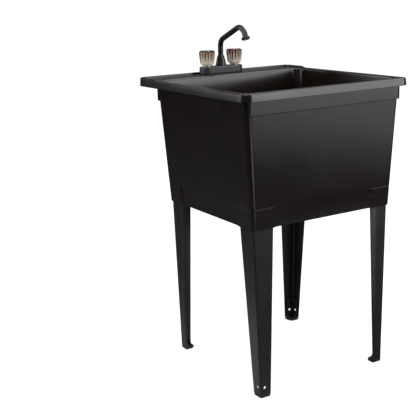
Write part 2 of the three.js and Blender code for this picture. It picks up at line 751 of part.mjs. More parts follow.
function makeSpoutOring() {
  const inner = TUBE_RADIUS + GAP;
  const ring = sleeve(inner, inner + ORING_SECTION, oringTop - ORING_HEIGHT, oringTop);
  return piece('spout_oring', solid(ring), rubber);
}

// The tip and its aerator are turned about the outlet's own axis, which leans with the down leg.
function makeSpoutTip() {
  const bore = TUBE_RADIUS + GAP;
  const straight = TIP_RADIUS - TIP_ROUND;
  const profile = [[bore, 0], [straight, 0], [TIP_RADIUS, TIP_ROUND], [TIP_RADIUS, TIP_LENGTH - TIP_ROUND]];
  profile.push([straight, TIP_LENGTH], [bore, TIP_LENGTH]);
  const tip = piece('spout_tip', solid(turned(profile)), spoutCoat);
  const aerator = solid(rod(TUBE_RADIUS - TUBE_WALL - GAP, GAP, GAP + AERATOR_THICKNESS));
  const hole = () => rod(AERATOR_HOLE, -PAST, AERATOR_THICKNESS + PAST, 8);
  const insert = ringOfCuts(aerator, hole, AERATOR_RING, AERATOR_HOLES);
  const group = new THREE.Group();
  group.add(tip, piece('aerator_insert', insert, whitePlastic));
  group.position.copy(outletEnd);
  group.rotation.x = -downTilt;
  return group;
}

// ---------------------------------------------------------------------------------------------
// One valve with its knob, with its origin on the deck on the valve's axis
// ---------------------------------------------------------------------------------------------

const knobFoot = faucetTop + KNOB_LIFT;
const knobTop = knobFoot + KNOB_HEIGHT;
const coreFoot = faucetTop + CORE_LIFT;
const coreTop = knobTop - KNOB_ROOF - GAP;
const screwSeat = coreTop - SCREW_WELL;
const stemTop = screwSeat - CORE_FLOOR;
const washerFoot = seat + GAP;
const flangeFoot = washerFoot + WASHER_THICKNESS + GAP;
const flangeTop = flangeFoot + STEM_FLANGE_HEIGHT;

// A shank stands in the body, passes the deck and takes the supply at its lower end.
function makeShank(side) {
  return piece(`${side}_shank`, solid(sleeve(SHANK_BORE, SHANK_RADIUS, seat - SHANK_LENGTH, seat)), brass);
}

function makeLocknut(side) {
  const top = -RIM_THICKNESS - GAP;
  const nut = solid(rod(LOCKNUT_RADIUS, top - LOCKNUT_HEIGHT, top, 6))
    .subtract(solid(rod(SHANK_RADIUS + GAP, top - LOCKNUT_HEIGHT - PAST, top + PAST)));
  return piece(`${side}_locknut`, nut, whitePlastic);
}

function makeBonnet(side) {
  const bore = STEM_RADIUS + GAP;
  const nut = sleeve(bore, VALVE_BORE - GAP, flangeTop + GAP, faucetTop + BONNET_RISE);
  return piece(`${side}_bonnet_nut`, solid(nut), brass);
}

function makeSeatWasher(side) {
  const washer = rod(STEM_FLANGE_RADIUS, washerFoot, washerFoot + WASHER_THICKNESS);
  return piece(`${side}_seat_washer`, solid(washer), rubber);
}

// The stem's flange presses the washer on the shank's end, and its top takes the handle screw.
function makeStem(side) {
  const holeFoot = screwSeat - SCREW_LENGTH - GAP;
  const profile = [[0, flangeFoot], [STEM_FLANGE_RADIUS, flangeFoot], [STEM_FLANGE_RADIUS, flangeTop]];
  profile.push([STEM_RADIUS, flangeTop], [STEM_RADIUS, stemTop], [STEM_HOLE, stemTop]);
  profile.push([STEM_HOLE, holeFoot], [0, holeFoot]);
  return piece(`${side}_valve_stem`, solid(turned(profile)), brass);
}

function makeScrew(side) {
  const profile = [[0, screwSeat - SCREW_LENGTH], [SCREW_RADIUS, screwSeat - SCREW_LENGTH]];
  profile.push([SCREW_RADIUS, screwSeat + GAP], [SCREW_HEAD_RADIUS, screwSeat + GAP]);
  profile.push([SCREW_HEAD_RADIUS, screwSeat + SCREW_HEAD_HEIGHT], [0, screwSeat + SCREW_HEAD_HEIGHT]);
  return piece(`${side}_handle_screw`, solid(turned(profile, 16)), brass);
}

// The core fits over the stem from below, and its top is bored for the screw's head.
function makeCore(side) {
  const socket = STEM_RADIUS + GAP;
  const clear = SCREW_RADIUS + GAP;
  const well = SCREW_HEAD_RADIUS + GAP;
  const profile = [[socket, coreFoot], [CORE_RADIUS, coreFoot], [CORE_RADIUS, coreTop], [well, coreTop]];
  profile.push([well, screwSeat], [clear, screwSeat], [clear, stemTop + GAP], [socket, stemTop + GAP]);
  return piece(`${side}_knob_core`, solid(turned(profile)), creamPlastic);
}

function makeCap(side) {
  const foot = coreTop + GAP;
  const profile = [[0, foot], [CAP_RADIUS, foot]];
  for (let step = 0; step <= EDGE_STEPS; step += 1) {
    const turn = (step / EDGE_STEPS) * (Math.PI / 2);
    profile.push([CAP_RADIUS * Math.cos(turn), knobTop + CAP_DOME * Math.sin(turn)]);
  }
  return piece(`${side}_knob_cap`, solid(turned(profile)), pinkPlastic);
}

// The knob is a fluted shell over the core, wider at the top, with a round hole for the cap.
function makeKnob(side) {
  const levels = [[knobFoot, KNOB_FOOT_RADIUS], [knobTop - KNOB_EDGE, KNOB_TOP_RADIUS]];
  levels.push([knobTop, KNOB_TOP_RADIUS - KNOB_EDGE]);
  const outside = solid(loft(levels.map(([z, radius]) => flutedLoop(radius, z))));
  const hollow = solid(rod(CORE_RADIUS + GAP, knobFoot - PAST, coreTop + GAP));
  const capHole = solid(rod(CAP_RADIUS + GAP, coreTop, knobTop + PAST));
  return piece(`${side}_knob`, outside.subtract(hollow).subtract(capHole), smokyAcrylic);
}

function flutedLoop(radius, z) {
  const count = FLUTES * FLUTE_STEPS;
  return Array.from({ length: count }, (_, step) => {
    const angle = (step / count) * 2 * Math.PI;
    const reach = radius - FLUTE_DEPTH * (0.5 - 0.5 * Math.cos(FLUTES * angle));
    return new THREE.Vector3(reach * Math.cos(angle), reach * Math.sin(angle), z);
  });
}

function makeValve(side, sign) {
  const valve = new THREE.Group();
  valve.position.x = (sign * VALVE_SPACING) / 2;
  const makers = [makeShank, makeLocknut, makeBonnet, makeSeatWasher, makeStem];
  makers.push(makeScrew, makeCore, makeCap, makeKnob);
  for (const make of makers) valve.add(make(side));
  return valve;
}

// ---------------------------------------------------------------------------------------------
// Waste fitting and stopper, with their origin on the bowl's floor on the waste's axis
// ---------------------------------------------------------------------------------------------

const flangeUpper = GAP + FLANGE_THICKNESS;
const sealTop = -WALL - GAP;
const wasteWasherTop = sealTop - SEAL_THICKNESS - GAP;
const wasteNutTop = wasteWasherTop - WASTE_WASHER_THICKNESS - GAP;
const tailTop = -WASTE_LENGTH + TAIL_GRIP;
const mouthFoot = flangeUpper - MOUTH_DEPTH;

// The waste body clamps the floor between its flange and the nut, and holds the strainer on a ledge.
function makeWasteBody() {
  const grip = TAIL_RADIUS + GAP;
  const profile = [[FLANGE_RADIUS, GAP], [FLANGE_RADIUS, GAP + FLANGE_THICKNESS / 2]];
  profile.push([FLANGE_RADIUS - FLANGE_THICKNESS / 2, flangeUpper], [MOUTH_RADIUS, flangeUpper]);
  profile.push([WASTE_BORE, mouthFoot], [WASTE_BORE, -GRID_LEDGE_DEPTH], [LEDGE_BORE, -GRID_LEDGE_DEPTH]);
  profile.push([LEDGE_BORE, -GRID_LEDGE_DEPTH - LEDGE_THICKNESS], [grip, -GRID_LEDGE_DEPTH - LEDGE_THICKNESS]);
  profile.push([grip, -WASTE_LENGTH], [WASTE_TUBE_RADIUS, -WASTE_LENGTH], [WASTE_TUBE_RADIUS, GAP]);
  return piece('drain_flange', solid(turned(profile)), steel);
}

function makeStrainer() {
  const foot = -GRID_LEDGE_DEPTH + GAP;
  const disc = solid(rod(WASTE_BORE - GAP, foot, foot + GRID_THICKNESS));
  const hole = () => rod(GRID_HOLE, foot - PAST, foot + GRID_THICKNESS + PAST, 10);
  return piece('drain_strainer', ringOfCuts(disc, hole, GRID_RING, GRID_HOLES), steel);
}

function makeWasteSeal() {
  const ring = sleeve(WASTE_TUBE_RADIUS + GAP, SEAL_RADIUS, sealTop - SEAL_THICKNESS, sealTop);
  return piece('drain_gasket', solid(ring), rubber);
}

function makeWasteWasher() {
  const foot = wasteWasherTop - WASTE_WASHER_THICKNESS;
  return piece('drain_washer', solid(sleeve(WASTE_TUBE_RADIUS + GAP, SEAL_RADIUS, foot, wasteWasherTop)), whitePlastic);
}

function makeWasteNut() {
  const foot = wasteNutTop - WASTE_NUT_HEIGHT;
  const nut = solid(rod(WASTE_NUT_RADIUS, foot, wasteNutTop, 8))
    .subtract(solid(rod(WASTE_TUBE_RADIUS + GAP, foot - PAST, wasteNutTop + PAST)));
  return piece('drain_locknut', nut, whitePlastic);
}

function makeTailpiece() {
  const tail = sleeve(TAIL_RADIUS - TAIL_WALL, TAIL_RADIUS, tailTop - TAIL_LENGTH, tailTop);
  return piece('tailpiece', solid(tail), whitePlastic);
}

// The slip washer is squeezed under the waste body's end by the nut.
function makeSlipWasher() {
  const top = -WASTE_LENGTH - GAP;
  const ring = sleeve(TAIL_RADIUS + GAP, WASTE_TUBE_RADIUS, top - SLIP_WASHER_THICKNESS, top);
  return piece('slip_washer', solid(ring), rubber);
}

function makeSlipNut() {
  const ledge = -WASTE_LENGTH - SLIP_WASHER_THICKNESS - 2 * GAP;
  const foot = ledge - SLIP_NUT_FLOOR;
  const bore = WASTE_TUBE_RADIUS + GAP;
  const profile = [[TAIL_RADIUS + GAP, foot], [SLIP_NUT_RADIUS, foot], [SLIP_NUT_RADIUS, ledge + SLIP_NUT_GRIP]];
  profile.push([bore, ledge + SLIP_NUT_GRIP], [bore, ledge], [TAIL_RADIUS + GAP, ledge]);
  return piece('slip_nut', solid(turned(profile)), whitePlastic);
}

// The stopper's cone follows the waste's mouth, and a knob on top lifts it out.
function makeStopper() {
  const slope = (MOUTH_RADIUS - WASTE_BORE) / MOUTH_DEPTH;
  const seatRadius = (z) => WASTE_BORE + slope * (z - mouthFoot) - 2 * GAP;
  const top = flangeUpper + STOPPER_LIP;
  const knob = top + STOPPER_KNOB_HEIGHT;
  const profile = [[0, mouthFoot - STOPPER_BELOW], [WASTE_BORE - 3 * GAP, mouthFoot - STOPPER_BELOW]];
  profile.push([WASTE_BORE - 2 * GAP, mouthFoot], [seatRadius(flangeUpper), flangeUpper]);
  profile.push([seatRadius(flangeUpper), top], [STOPPER_KNOB_RADIUS, top]);
  profile.push([STOPPER_NECK_RADIUS, top + STOPPER_NECK_HEIGHT], [STOPPER_KNOB_RADIUS, knob - STOPPER_KNOB_EDGE]);
  profile.push([STOPPER_KNOB_RADIUS - STOPPER_KNOB_EDGE, knob], [0, knob]);
  return piece('stopper', solid(turned(profile)), rubber);
}

// ---------------------------------------------------------------------------------------------
// Assembly
// ---------------------------------------------------------------------------------------------

const faucet = new THREE.Group();
faucet.position.set(0, faucetY, RIM_HEIGHT);
faucet.add(makeFaucetBody(), makeFaucetGasket(), makeSpoutCollar());
faucet.add(makeSpoutTube(), makeSpoutOring(), makeSpoutTip());
faucet.add(makeValve('hot', -1), makeValve('cold', 1));

const waste = new THREE.Group();
waste.position.set(0, WASTE_Y, skirtTop);
waste.add(makeWasteBody(), makeStrainer(), makeWasteSeal(), makeWasteWasher(), makeWasteNut());
waste.add(makeTailpiece(), makeSlipWasher(), makeSlipNut(), makeStopper());

const sink = new THREE.Group();
sink.add(makeTub(), ...legCorners.map(makeLeg), ...legCorners.map(makeFoot), faucet, waste);

export default sink;
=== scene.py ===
import math

import bmesh
import bpy
from mathutils import Matrix, Vector


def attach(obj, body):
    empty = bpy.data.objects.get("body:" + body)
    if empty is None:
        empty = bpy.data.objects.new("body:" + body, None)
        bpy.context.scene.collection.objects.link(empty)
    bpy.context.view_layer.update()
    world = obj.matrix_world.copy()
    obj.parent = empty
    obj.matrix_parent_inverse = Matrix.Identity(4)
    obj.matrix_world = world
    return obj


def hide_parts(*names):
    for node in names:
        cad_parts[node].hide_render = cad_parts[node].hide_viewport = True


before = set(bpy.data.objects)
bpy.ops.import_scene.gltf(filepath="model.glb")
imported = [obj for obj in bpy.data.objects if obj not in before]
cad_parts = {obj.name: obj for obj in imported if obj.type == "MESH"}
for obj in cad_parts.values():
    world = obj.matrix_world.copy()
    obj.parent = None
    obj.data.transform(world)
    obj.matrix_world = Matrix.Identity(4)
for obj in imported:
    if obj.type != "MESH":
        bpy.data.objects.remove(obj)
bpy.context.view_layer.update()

# ---------------------------------------------------------------------------------------------
# Camera: in front of the sink and to its left, above the rim and looking down at it.
# ---------------------------------------------------------------------------------------------

STAND = (-1.484, -2.10125, 1.12259)
TURN, TILT, ROLL = (math.radians(angle) for angle in (-31.008, 75.758, -1.8))
LENS, SENSOR, FAR_CLIP = 74.97, 36, 60

bpy.ops.object.camera_add()
camera = bpy.context.object
camera.data.lens = LENS
camera.data.sensor_width = SENSOR
camera.data.clip_end = FAR_CLIP
camera.matrix_world = (
    Matrix.Translation(STAND)
    @ Matrix.Rotation(TURN, 4, "Z")
    @ Matrix.Rotation(TILT, 4, "X")
    @ Matrix.Rotation(ROLL, 4, "Z")
)
bpy.context.scene.camera = camera

# ---------------------------------------------------------------------------------------------
# Tub: one moulding in black plastic. A tapering body stands on a skirt with a leg socket in each
# corner, and carries a band, a rim with a turned-down lip, and a low ridge round the faucet deck.
# ---------------------------------------------------------------------------------------------

# Outlines are half the width, the front, the back and the corner's radius, in metres.
RIM = (0.2855, -0.2935, 0.2935, 0.029)
RIM_TOP = (0.2835, -0.2915, 0.2935, 0.027)
BAND = (0.2695, -0.2775, 0.2065, 0.020)
BODY_TOP = (0.2645, -0.2725, 0.2015, 0.020)
BODY_FOOT = (0.2421, -0.2629, 0.1912, 0.012)
BOWL_TOP = (0.2605, -0.2685, 0.1975, 0.030)
BOWL_WAIST = (0.2565, -0.2645, 0.1905, 0.030)
BOWL_FOOT = (0.2426, -0.2608, 0.1893, 0.030)
LAND = (0.056, -0.091, 0.021, 0.056)
WASTE_HOLE = (0.02585, -0.06085, -0.00915, 0.02585)
RIM_LEVEL, LIP_FOOT, BAND_FOOT, RIM_SHEET = 0.860, 0.839, 0.801, 0.004
BOWL_END, SKIRT_TOP, GROOVE_FOOT, FLOOR_UNDER = 0.553, 0.549, 0.546, 0.545
PANEL_TOP, PANEL_KINK, SKIRT_FOOT = 0.544, 0.518, 0.491
GROOVE_DEPTH = 0.0045
# How deep the skirt's panels are pressed in, level by level.
PANEL = ((SKIRT_FOOT, 0.0032), (PANEL_KINK, 0.005), (PANEL_TOP, GROOVE_DEPTH))
POCKET, POCKET_CORNER, POCKET_SIDE = 0.072, 0.011, 0.005
SLOT_NEAR, SLOT_FAR, SKIRT_WALL = 0.00465, 0.00685, 0.008
SLOT_LEAN, SLOT_DEPTH = (0.0014, 0.0003), 0.0537
RIDGE_WIDTH, RIDGE_HEIGHT, RIDGE_START, RIDGE_FULL = 0.009, 0.0045, 0.187, 0.205
# Corners this close are one, and a corner this close to an outline is on it.
NEAR, CLOSE = 1e-5, 2e-4


def edit(obj):
    bpy.ops.object.select_all(action="DESELECT")
    obj.select_set(True)
    bpy.context.view_layer.objects.active = obj
    bpy.ops.object.mode_set(mode="EDIT")


def started(name, size=(1, 1, 1)):
    """Names the primitive just added, gives it its size and opens it for editing."""
    obj = bpy.context.object
    obj.name = name
    obj.scale = size
    bpy.ops.object.transform_apply(location=True, rotation=True, scale=True)
    edit(obj)
    return obj


def mesh_now():
    return bmesh.from_edit_mesh(bpy.context.object.data)


def pick(kind, test):
    """Picks the corners (VERT), edges (EDGE) or faces (FACE) that pass the test."""
    bpy.ops.mesh.select_mode(type=kind)
    bpy.ops.mesh.select_all(action="DESELECT")
    shape = mesh_now()
    for item in {"VERT": shape.verts, "EDGE": shape.edges, "FACE": shape.faces}[kind]:
        if test(item):
            item.select_set(True)
    if kind == "VERT":
        shape.select_flush(True)
    bmesh.update_edit_mesh(bpy.context.object.data)


def centre(item):
    return sum((v.co for v in item.verts), Vector()) / len(item.verts)


def along(axis, length):
    """A step along x, y or z, which are axes 0, 1 and 2."""
    step = Vector((0, 0, 0))
    step[axis] = length
    return step


def extrude(by=(0, 0, 0)):
    bpy.ops.mesh.extrude_region_move(TRANSFORM_OT_translate={"value": by})


def cut_faces(test, point, normal):
    pick("FACE", test)
    bpy.ops.mesh.bisect(plane_co=point, plane_no=normal)


def outline(size, level):
    """Gives the picked face another outline, with its own corner radius, at a level."""
    half, front, back, radius = size
    chosen = {v.index for v in mesh_now().verts if v.select}
    points = [v.co.copy() for v in mesh_now().verts if v.select]
    low, high = (Vector(end(p[i] for p in points) for i in range(3)) for end in (min, max))
    middle = (low + high) / 2
    stretch = (2 * half / (high.x - low.x), (back - front) / (high.y - low.y), 1)
    bpy.ops.transform.resize(value=stretch, center_override=middle)
    place = Vector((0, (front + back) / 2, level))
    bpy.ops.transform.translate(value=place - middle)
    bent_x = (high.x - max(p.x for p in points if p.y > high.y - NEAR)) * stretch[0]
    bent_y = (high.y - max(p.y for p in points if p.x > high.x - NEAR)) * stretch[1]
    if max(abs(bent_x - radius), abs(bent_y - radius)) < NEAR:
        return
    for side in (-1, 1):
        for end, way in ((front, -1), (back, 1)):
            def in_corner(v):
                if v.index not in chosen or side * v.co.x < half - bent_x - NEAR:
                    return False
                return way * v.co.y > way * end - bent_y - NEAR
            pick("VERT", in_corner)
            grow = (radius / bent_x, radius / bent_y, 1)
            bpy.ops.transform.resize(value=grow, center_override=(side * half, end, level))
    pick("VERT", lambda v: v.index in chosen)


def rise(size, level):
    """Draws the picked face out to another outline and level."""
    extrude()
    outline(size, level)


def shrunk(size, by, radius=None):
    half, front, back, bend = size
    return (half - by, front + by, back - by, bend - by if radius is None else radius)


def body_at(level):
    share = (level - SKIRT_FOOT) / (BAND_FOOT - SKIRT_FOOT)
    return tuple(a + share * (b - a) for a, b in zip(BODY_FOOT, BODY_TOP))


def beyond(co, size):
    """How far a point is outside an outline."""
    half, front, back, radius = size
    x = abs(co.x) - half + radius
    y = abs(co.y - (front + back) / 2) - (back - front) / 2 + radius
    return math.hypot(max(x, 0), max(y, 0)) + min(max(x, y), 0) - radius


def pick_ring(size, level):
    def on_ring(v):
        return abs(v.co.z - level) < NEAR and abs(beyond(v.co, size)) < CLOSE
    pick("EDGE", lambda e: all(on_ring(v) for v in e.verts))


def soften(width, segments=3):
    bpy.ops.mesh.bevel(offset=width, segments=segments, affect="EDGES", clamp_overlap=False)


def finish_mesh(obj, angle=40):
    """Closes the mesh's seams, faces it outward and smooths all but its sharp edges."""
    bpy.ops.mesh.select_mode(type="VERT")
    bpy.ops.mesh.select_all(action="SELECT")
    bpy.ops.mesh.remove_doubles(threshold=NEAR)
    bpy.ops.mesh.dissolve_degenerate(threshold=NEAR)
    bpy.ops.mesh.normals_make_consistent(inside=False)
    bpy.ops.object.mode_set(mode="OBJECT")
    bpy.ops.object.shade_smooth_by_angle(angle=math.radians(angle))
    # Wide flats keep their own normals, so that only the bends between them look round.
    flats = obj.modifiers.new("flats", "WEIGHTED_NORMAL")
    flats.keep_sharp = True
    bpy.ops.object.modifier_apply(modifier=flats.name)
    return obj


# A block with rounded upright edges, which the first two outlines bring to size.
bpy.ops.mesh.primitive_cube_add(size=1)
tub = started("tub_shell")
pick("EDGE", lambda e: abs(e.verts[0].co.z - e.verts[1].co.z) > 0.5)
soften(0.05, 8)

# The skirt's foot, the body, the band, the lip folded down and back up, and the bowl inside them.
pick("FACE", lambda f: f.normal.z < -0.9)
outline(BODY_FOOT, SKIRT_FOOT)
pick("FACE", lambda f: f.normal.z > 0.9)
outline(body_at(PANEL_KINK), PANEL_KINK)
for size, level in (
    (body_at(PANEL_TOP), PANEL_TOP),
    (body_at(GROOVE_FOOT), GROOVE_FOOT),
    (shrunk(body_at(GROOVE_FOOT), GROOVE_DEPTH), GROOVE_FOOT),
    (shrunk(body_at(SKIRT_TOP), GROOVE_DEPTH), SKIRT_TOP),
    (body_at(SKIRT_TOP), SKIRT_TOP),
    (BODY_TOP, BAND_FOOT),
    (BAND, BAND_FOOT),
    (BAND, RIM_LEVEL - RIM_SHEET),
    (shrunk(RIM, RIM_SHEET), RIM_LEVEL - RIM_SHEET),
    (shrunk(RIM, RIM_SHEET), LIP_FOOT),
    (RIM, LIP_FOOT),
    (RIM_TOP, RIM_LEVEL),
    (shrunk(RIM_TOP, RIDGE_WIDTH), RIM_LEVEL),
    (BOWL_TOP, RIM_LEVEL),
    (BOWL_WAIST, BAND_FOOT),
    (BOWL_FOOT, BOWL_END),
    (LAND, SKIRT_TOP),
    (WASTE_HOLE, SKIRT_TOP),
    (WASTE_HOLE, FLOOR_UNDER),
):
    rise(size, level)
bpy.ops.mesh.delete(type="ONLY_FACE")


def skirt_face(face):
    return abs(centre(face).z - SKIRT_FOOT) < NEAR and abs(face.normal.z) > 0.9


# Underneath, the skirt's wall holds the slots for the legs, which run on along its sides, and is
# hollow up to the floor.
pick("FACE", skirt_face)
for size, level in (
    (shrunk(BODY_FOOT, SLOT_NEAR, 0.0058), SKIRT_FOOT),
    (shrunk(BODY_FOOT, SLOT_FAR, 0.0036), SKIRT_FOOT),
    (shrunk(BODY_FOOT, SKIRT_WALL, 0.003), SKIRT_FOOT),
    (shrunk(body_at(FLOOR_UNDER), SKIRT_WALL, 0.003), FLOOR_UNDER),
    (WASTE_HOLE, FLOOR_UNDER),
):
    rise(size, level)
bpy.ops.mesh.delete(type="ONLY_FACE")
bpy.ops.mesh.select_all(action="SELECT")
bpy.ops.mesh.remove_doubles(threshold=NEAR)

BODY_MIDDLE = (BODY_FOOT[1] + BODY_FOOT[2]) / 2
SLOT_ENDS = ((0.1718, 0), (0.15675, BODY_MIDDLE))


def in_slot_band(face):
    return skirt_face(face) and -SLOT_FAR < beyond(centre(face), BODY_FOOT) < -SLOT_NEAR


for axis, (half, middle) in enumerate(SLOT_ENDS):
    for side in (-1, 1):
        cut_faces(in_slot_band, along(axis, middle + side * half), along(axis, side))
for side in (-1, 1):
    for way in (-1, 1):
        def in_slot(face):
            x, y = side * centre(face).x, way * (centre(face).y - BODY_MIDDLE)
            at_end = x > SLOT_ENDS[0][0] or y > SLOT_ENDS[1][0]
            return at_end and min(x, y) >= 0 and in_slot_band(face)
        pick("FACE", in_slot)
        extrude((side * SLOT_LEAN[0], -way * SLOT_LEAN[1], SLOT_DEPTH))

# The panels between the leg sockets are pressed in, with a rounded corner to each socket.
POCKET_ENDS = (BODY_FOOT[0] - POCKET, (BODY_FOOT[2] - BODY_FOOT[1]) / 2 - POCKET)
for axis in (0, 1):
    middle = (0, BODY_MIDDLE)[axis]
    for side in (-1, 1):
        for wall in (-1, 1):
            def on_wall(face):
                spot = centre(face)
                if not SKIRT_FOOT < spot.z < GROOVE_FOOT or wall * face.normal[1 - axis] < 0.9:
                    return False
                return beyond(spot, body_at(spot.z)) > -SKIRT_WALL / 4

            def by_socket(face):
                spot = centre(face)
                run = side * (spot[axis] - middle) - POCKET_ENDS[axis]
                return on_wall(face) and spot.z > PANEL_KINK and run > -POCKET_SIDE - NEAR

            cuts = [(0, 0, 1, 0), (-POCKET_SIDE, 0, 1, 0)]
            for turn in (18, 36, 54, 72):
                lean, lift = math.cos(math.radians(turn)), math.sin(math.radians(turn))
                for radius in (POCKET_CORNER, POCKET_CORNER + POCKET_SIDE):
                    cuts.append((POCKET_CORNER - radius * lean, radius * lift, -lean, lift))
            for run, lift, lean, climb in cuts:
                point = along(axis, middle + side * (POCKET_ENDS[axis] + run))
                point.z = GROOVE_FOOT - POCKET_CORNER + lift
                normal = along(axis, side * lean) + along(2, climb)
                cut_faces(by_socket if climb else on_wall, point, normal)


def pressed_in(v, axis):
    """Whether a point of the skirt belongs to a panel along this axis, past its sloping edge."""
    if not SKIRT_FOOT - NEAR < v.co.z < GROOVE_FOOT + NEAR:
        return False
    if abs(beyond(v.co, body_at(v.co.z))) > CLOSE:
        return False
    run = abs(v.co[axis] - (0, BODY_MIDDLE)[axis]) - POCKET_ENDS[axis]
    lift = v.co.z - (GROOVE_FOOT - POCKET_CORNER)
    past = math.hypot(run - POCKET_CORNER, lift) - POCKET_CORNER - POCKET_SIDE
    return run < NEAR - POCKET_SIDE or (run < POCKET_CORNER and lift > 0 and past > -CLOSE)


def panel_depth(level):
    for (low, start), (high, end) in zip(PANEL, PANEL[1:]):
        if level <= high + NEAR:
            return start + (end - start) * (level - low) / (high - low)
    return GROOVE_DEPTH


for axis in (0, 1):
    across = 1 - axis
    middle = (BODY_MIDDLE, 0)[axis]
    mesh_levels = {round(v.co.z, 6) for v in mesh_now().verts if pressed_in(v, axis)}
    for level in sorted(mesh_levels):
        for wall in (-1, 1):
            def in_row(v):
                return round(v.co.z, 6) == level and wall * (v.co[across] - middle) > 0

            pick("VERT", lambda v: in_row(v) and pressed_in(v, axis))
            bpy.ops.transform.translate(value=along(across, -wall * panel_depth(level)))


def on_strip(face):
    spot = centre(face)
    return abs(spot.z - RIM_LEVEL) < NEAR and -RIDGE_WIDTH < beyond(spot, RIM_TOP) < 0


# The ridge stands up from the rim's outer strip round the deck, and slopes down at its two ends.
for cut in (RIDGE_START, RIDGE_FULL):
    cut_faces(on_strip, (0, cut, RIM_LEVEL), (0, 1, 0))
pick("FACE", lambda f: on_strip(f) and centre(f).y > RIDGE_START)
extrude((0, 0, RIDGE_HEIGHT))
pick("VERT", lambda v: v.co.z > RIM_LEVEL + NEAR and v.co.y < RIDGE_START + NEAR)
bpy.ops.transform.translate(value=(0, 0, -RIDGE_HEIGHT))
bpy.ops.mesh.select_all(action="SELECT")
bpy.ops.mesh.remove_doubles(threshold=NEAR)
bpy.ops.mesh.normals_make_consistent(inside=False)


def is_brow(edge):
    """The outer top edge of the rim and of the ridge on it."""
    if len(edge.link_faces) != 2 or any(abs(beyond(v.co, RIM_TOP)) > CLOSE for v in edge.verts):
        return False
    up = sorted(f.normal.z for f in edge.link_faces)
    return up[1] > 0.8 and up[0] < 0.3


pick("EDGE", is_brow)
soften(0.0028)
for size, level, width, segments in (
    (BOWL_TOP, RIM_LEVEL, 0.005, 4),
    (BOWL_FOOT, BOWL_END, 0.020, 6),
    (RIM, LIP_FOOT, 0.001, 2),
    (shrunk(RIM, RIM_SHEET), LIP_FOOT, 0.0008, 2),
    (BAND, BAND_FOOT, 0.0014, 2),
    (BODY_TOP, BAND_FOOT, 0.001, 2),
    (shrunk(RIM_TOP, RIDGE_WIDTH), RIM_LEVEL + RIDGE_HEIGHT, 0.0015, 2),
):
    pick_ring(size, level)
    soften(width, segments)
finish_mesh(tub)


def linear(code):
    """A colour for Blender from its sRGB hex code."""
    parts = [int(code[i : i + 2], 16) / 255 for i in (1, 3, 5)]
    return [c / 12.92 if c <= 0.04045 else ((c + 0.055) / 1.055) ** 2.4 for c in parts] + [1]


def add_node(tree, kind, feeds=(), stops=(), **values):
    """One node with its settings. A feed is a node, one of its outputs or a constant, with the
    socket it goes to; the stops are a colour ramp's places and colours."""
    node = tree.nodes.new(kind)
    for key, value in values.items():
        if key in node.bl_rna.properties:
            setattr(node, key, value)
        else:
            node.inputs[key.replace("_", " ")].default_value = value
    for source, socket in feeds:
        if isinstance(source, bpy.types.Node):
            source = source.outputs[0]
        if isinstance(source, bpy.types.NodeSocket):
            tree.links.new(source, node.inputs[socket])
        else:
            node.inputs[socket].default_value = source
    if stops:
        band = node.color_ramp.elements
        band[0].position, band[1].position = stops[0][0], stops[-1][0]
        for place, _ in stops[1:-1]:
            band.new(place)
        for element, (_, colour) in zip(band, stops):
            element.color = linear(colour)
    return node


def empty_material(name):
    """A material with no nodes yet, its node tree, and the place on the piece for its patterns."""
    made = bpy.data.materials.new(name)
    made.use_nodes = True
    tree = made.node_tree
    tree.nodes.clear()
    return made, tree, add_node(tree, "ShaderNodeTexCoord").outputs["Object"]


def plain_finish(name, dark, light, patch, smooth, rough, grain, depth, swell=(), **values):
    """A finish whose colour and gloss drift over patches, above a fine grain, and above slow
    waves if it has any. Patches, grain and waves are sized, and as deep, as given in mm."""
    made, tree, spot = empty_material(name)
    cloud = add_node(tree, "ShaderNodeTexNoise", [(spot, "Vector")], Scale=1000 / patch, Detail=3)
    tint = add_node(tree, "ShaderNodeValToRGB", [(cloud, "Fac")], ((0.3, dark), (0.7, light)))
    gloss = add_node(tree, "ShaderNodeTexNoise", [(spot, "Vector")], Scale=700 / patch, Detail=3)
    spread = add_node(
        tree, "ShaderNodeMapRange", [(gloss, "Value")],
        From_Min=0.3, From_Max=0.7, To_Min=smooth, To_Max=rough,
    )
    grains = add_node(tree, "ShaderNodeTexNoise", [(spot, "Vector")], Scale=1000 / grain)
    skin = add_node(tree, "ShaderNodeBump", [(grains, "Height")], Distance=depth / 1000)
    for size, height in swell:
        feeds = [(spot, "Vector")]
        wave = add_node(tree, "ShaderNodeTexNoise", feeds, Scale=1000 / size, Detail=1)
        feeds = [(wave, "Height"), (skin, "Normal")]
        skin = add_node(tree, "ShaderNodeBump", feeds, Distance=height / 1000)
    feeds = [(tint, "Base Color"), (spread, "Roughness"), (skin, "Normal")]
    shader = add_node(tree, "ShaderNodeBsdfPrincipled", feeds, **values)
    add_node(tree, "ShaderNodeOutputMaterial", [(shader, "Surface")])
    return made


def dress(obj, material, body, slot, *nodes):
    """Gives a finished piece its material, its body and the CAD nodes it stands for."""
    obj.data.materials.clear()
    obj.data.materials.append(material)
    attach(obj, body)
    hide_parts(*nodes)


# Compression-moulded polypropylene: black with a faint brown cast, a fine stipple from the mould
# that spreads the highlights, and faint cloudy gloss where the skin cooled unevenly.
tub_plastic = plain_finish(
    "moulded_black_polypropylene", "#120e0c", "#17110f", 100, 0.18, 0.24, 1.1, 0.03, [(90, 0.4)],
    IOR=1.49,
)
dress(tub, tub_plastic, "base", "tub_plastic", "tub")

# ---------------------------------------------------------------------------------------------
# Legs: four lengths of sheet steel, bent once into an angle, tapering to the floor and powder
# coated. Each stands in a slot of the skirt and has two holes near its lower end.
# ---------------------------------------------------------------------------------------------

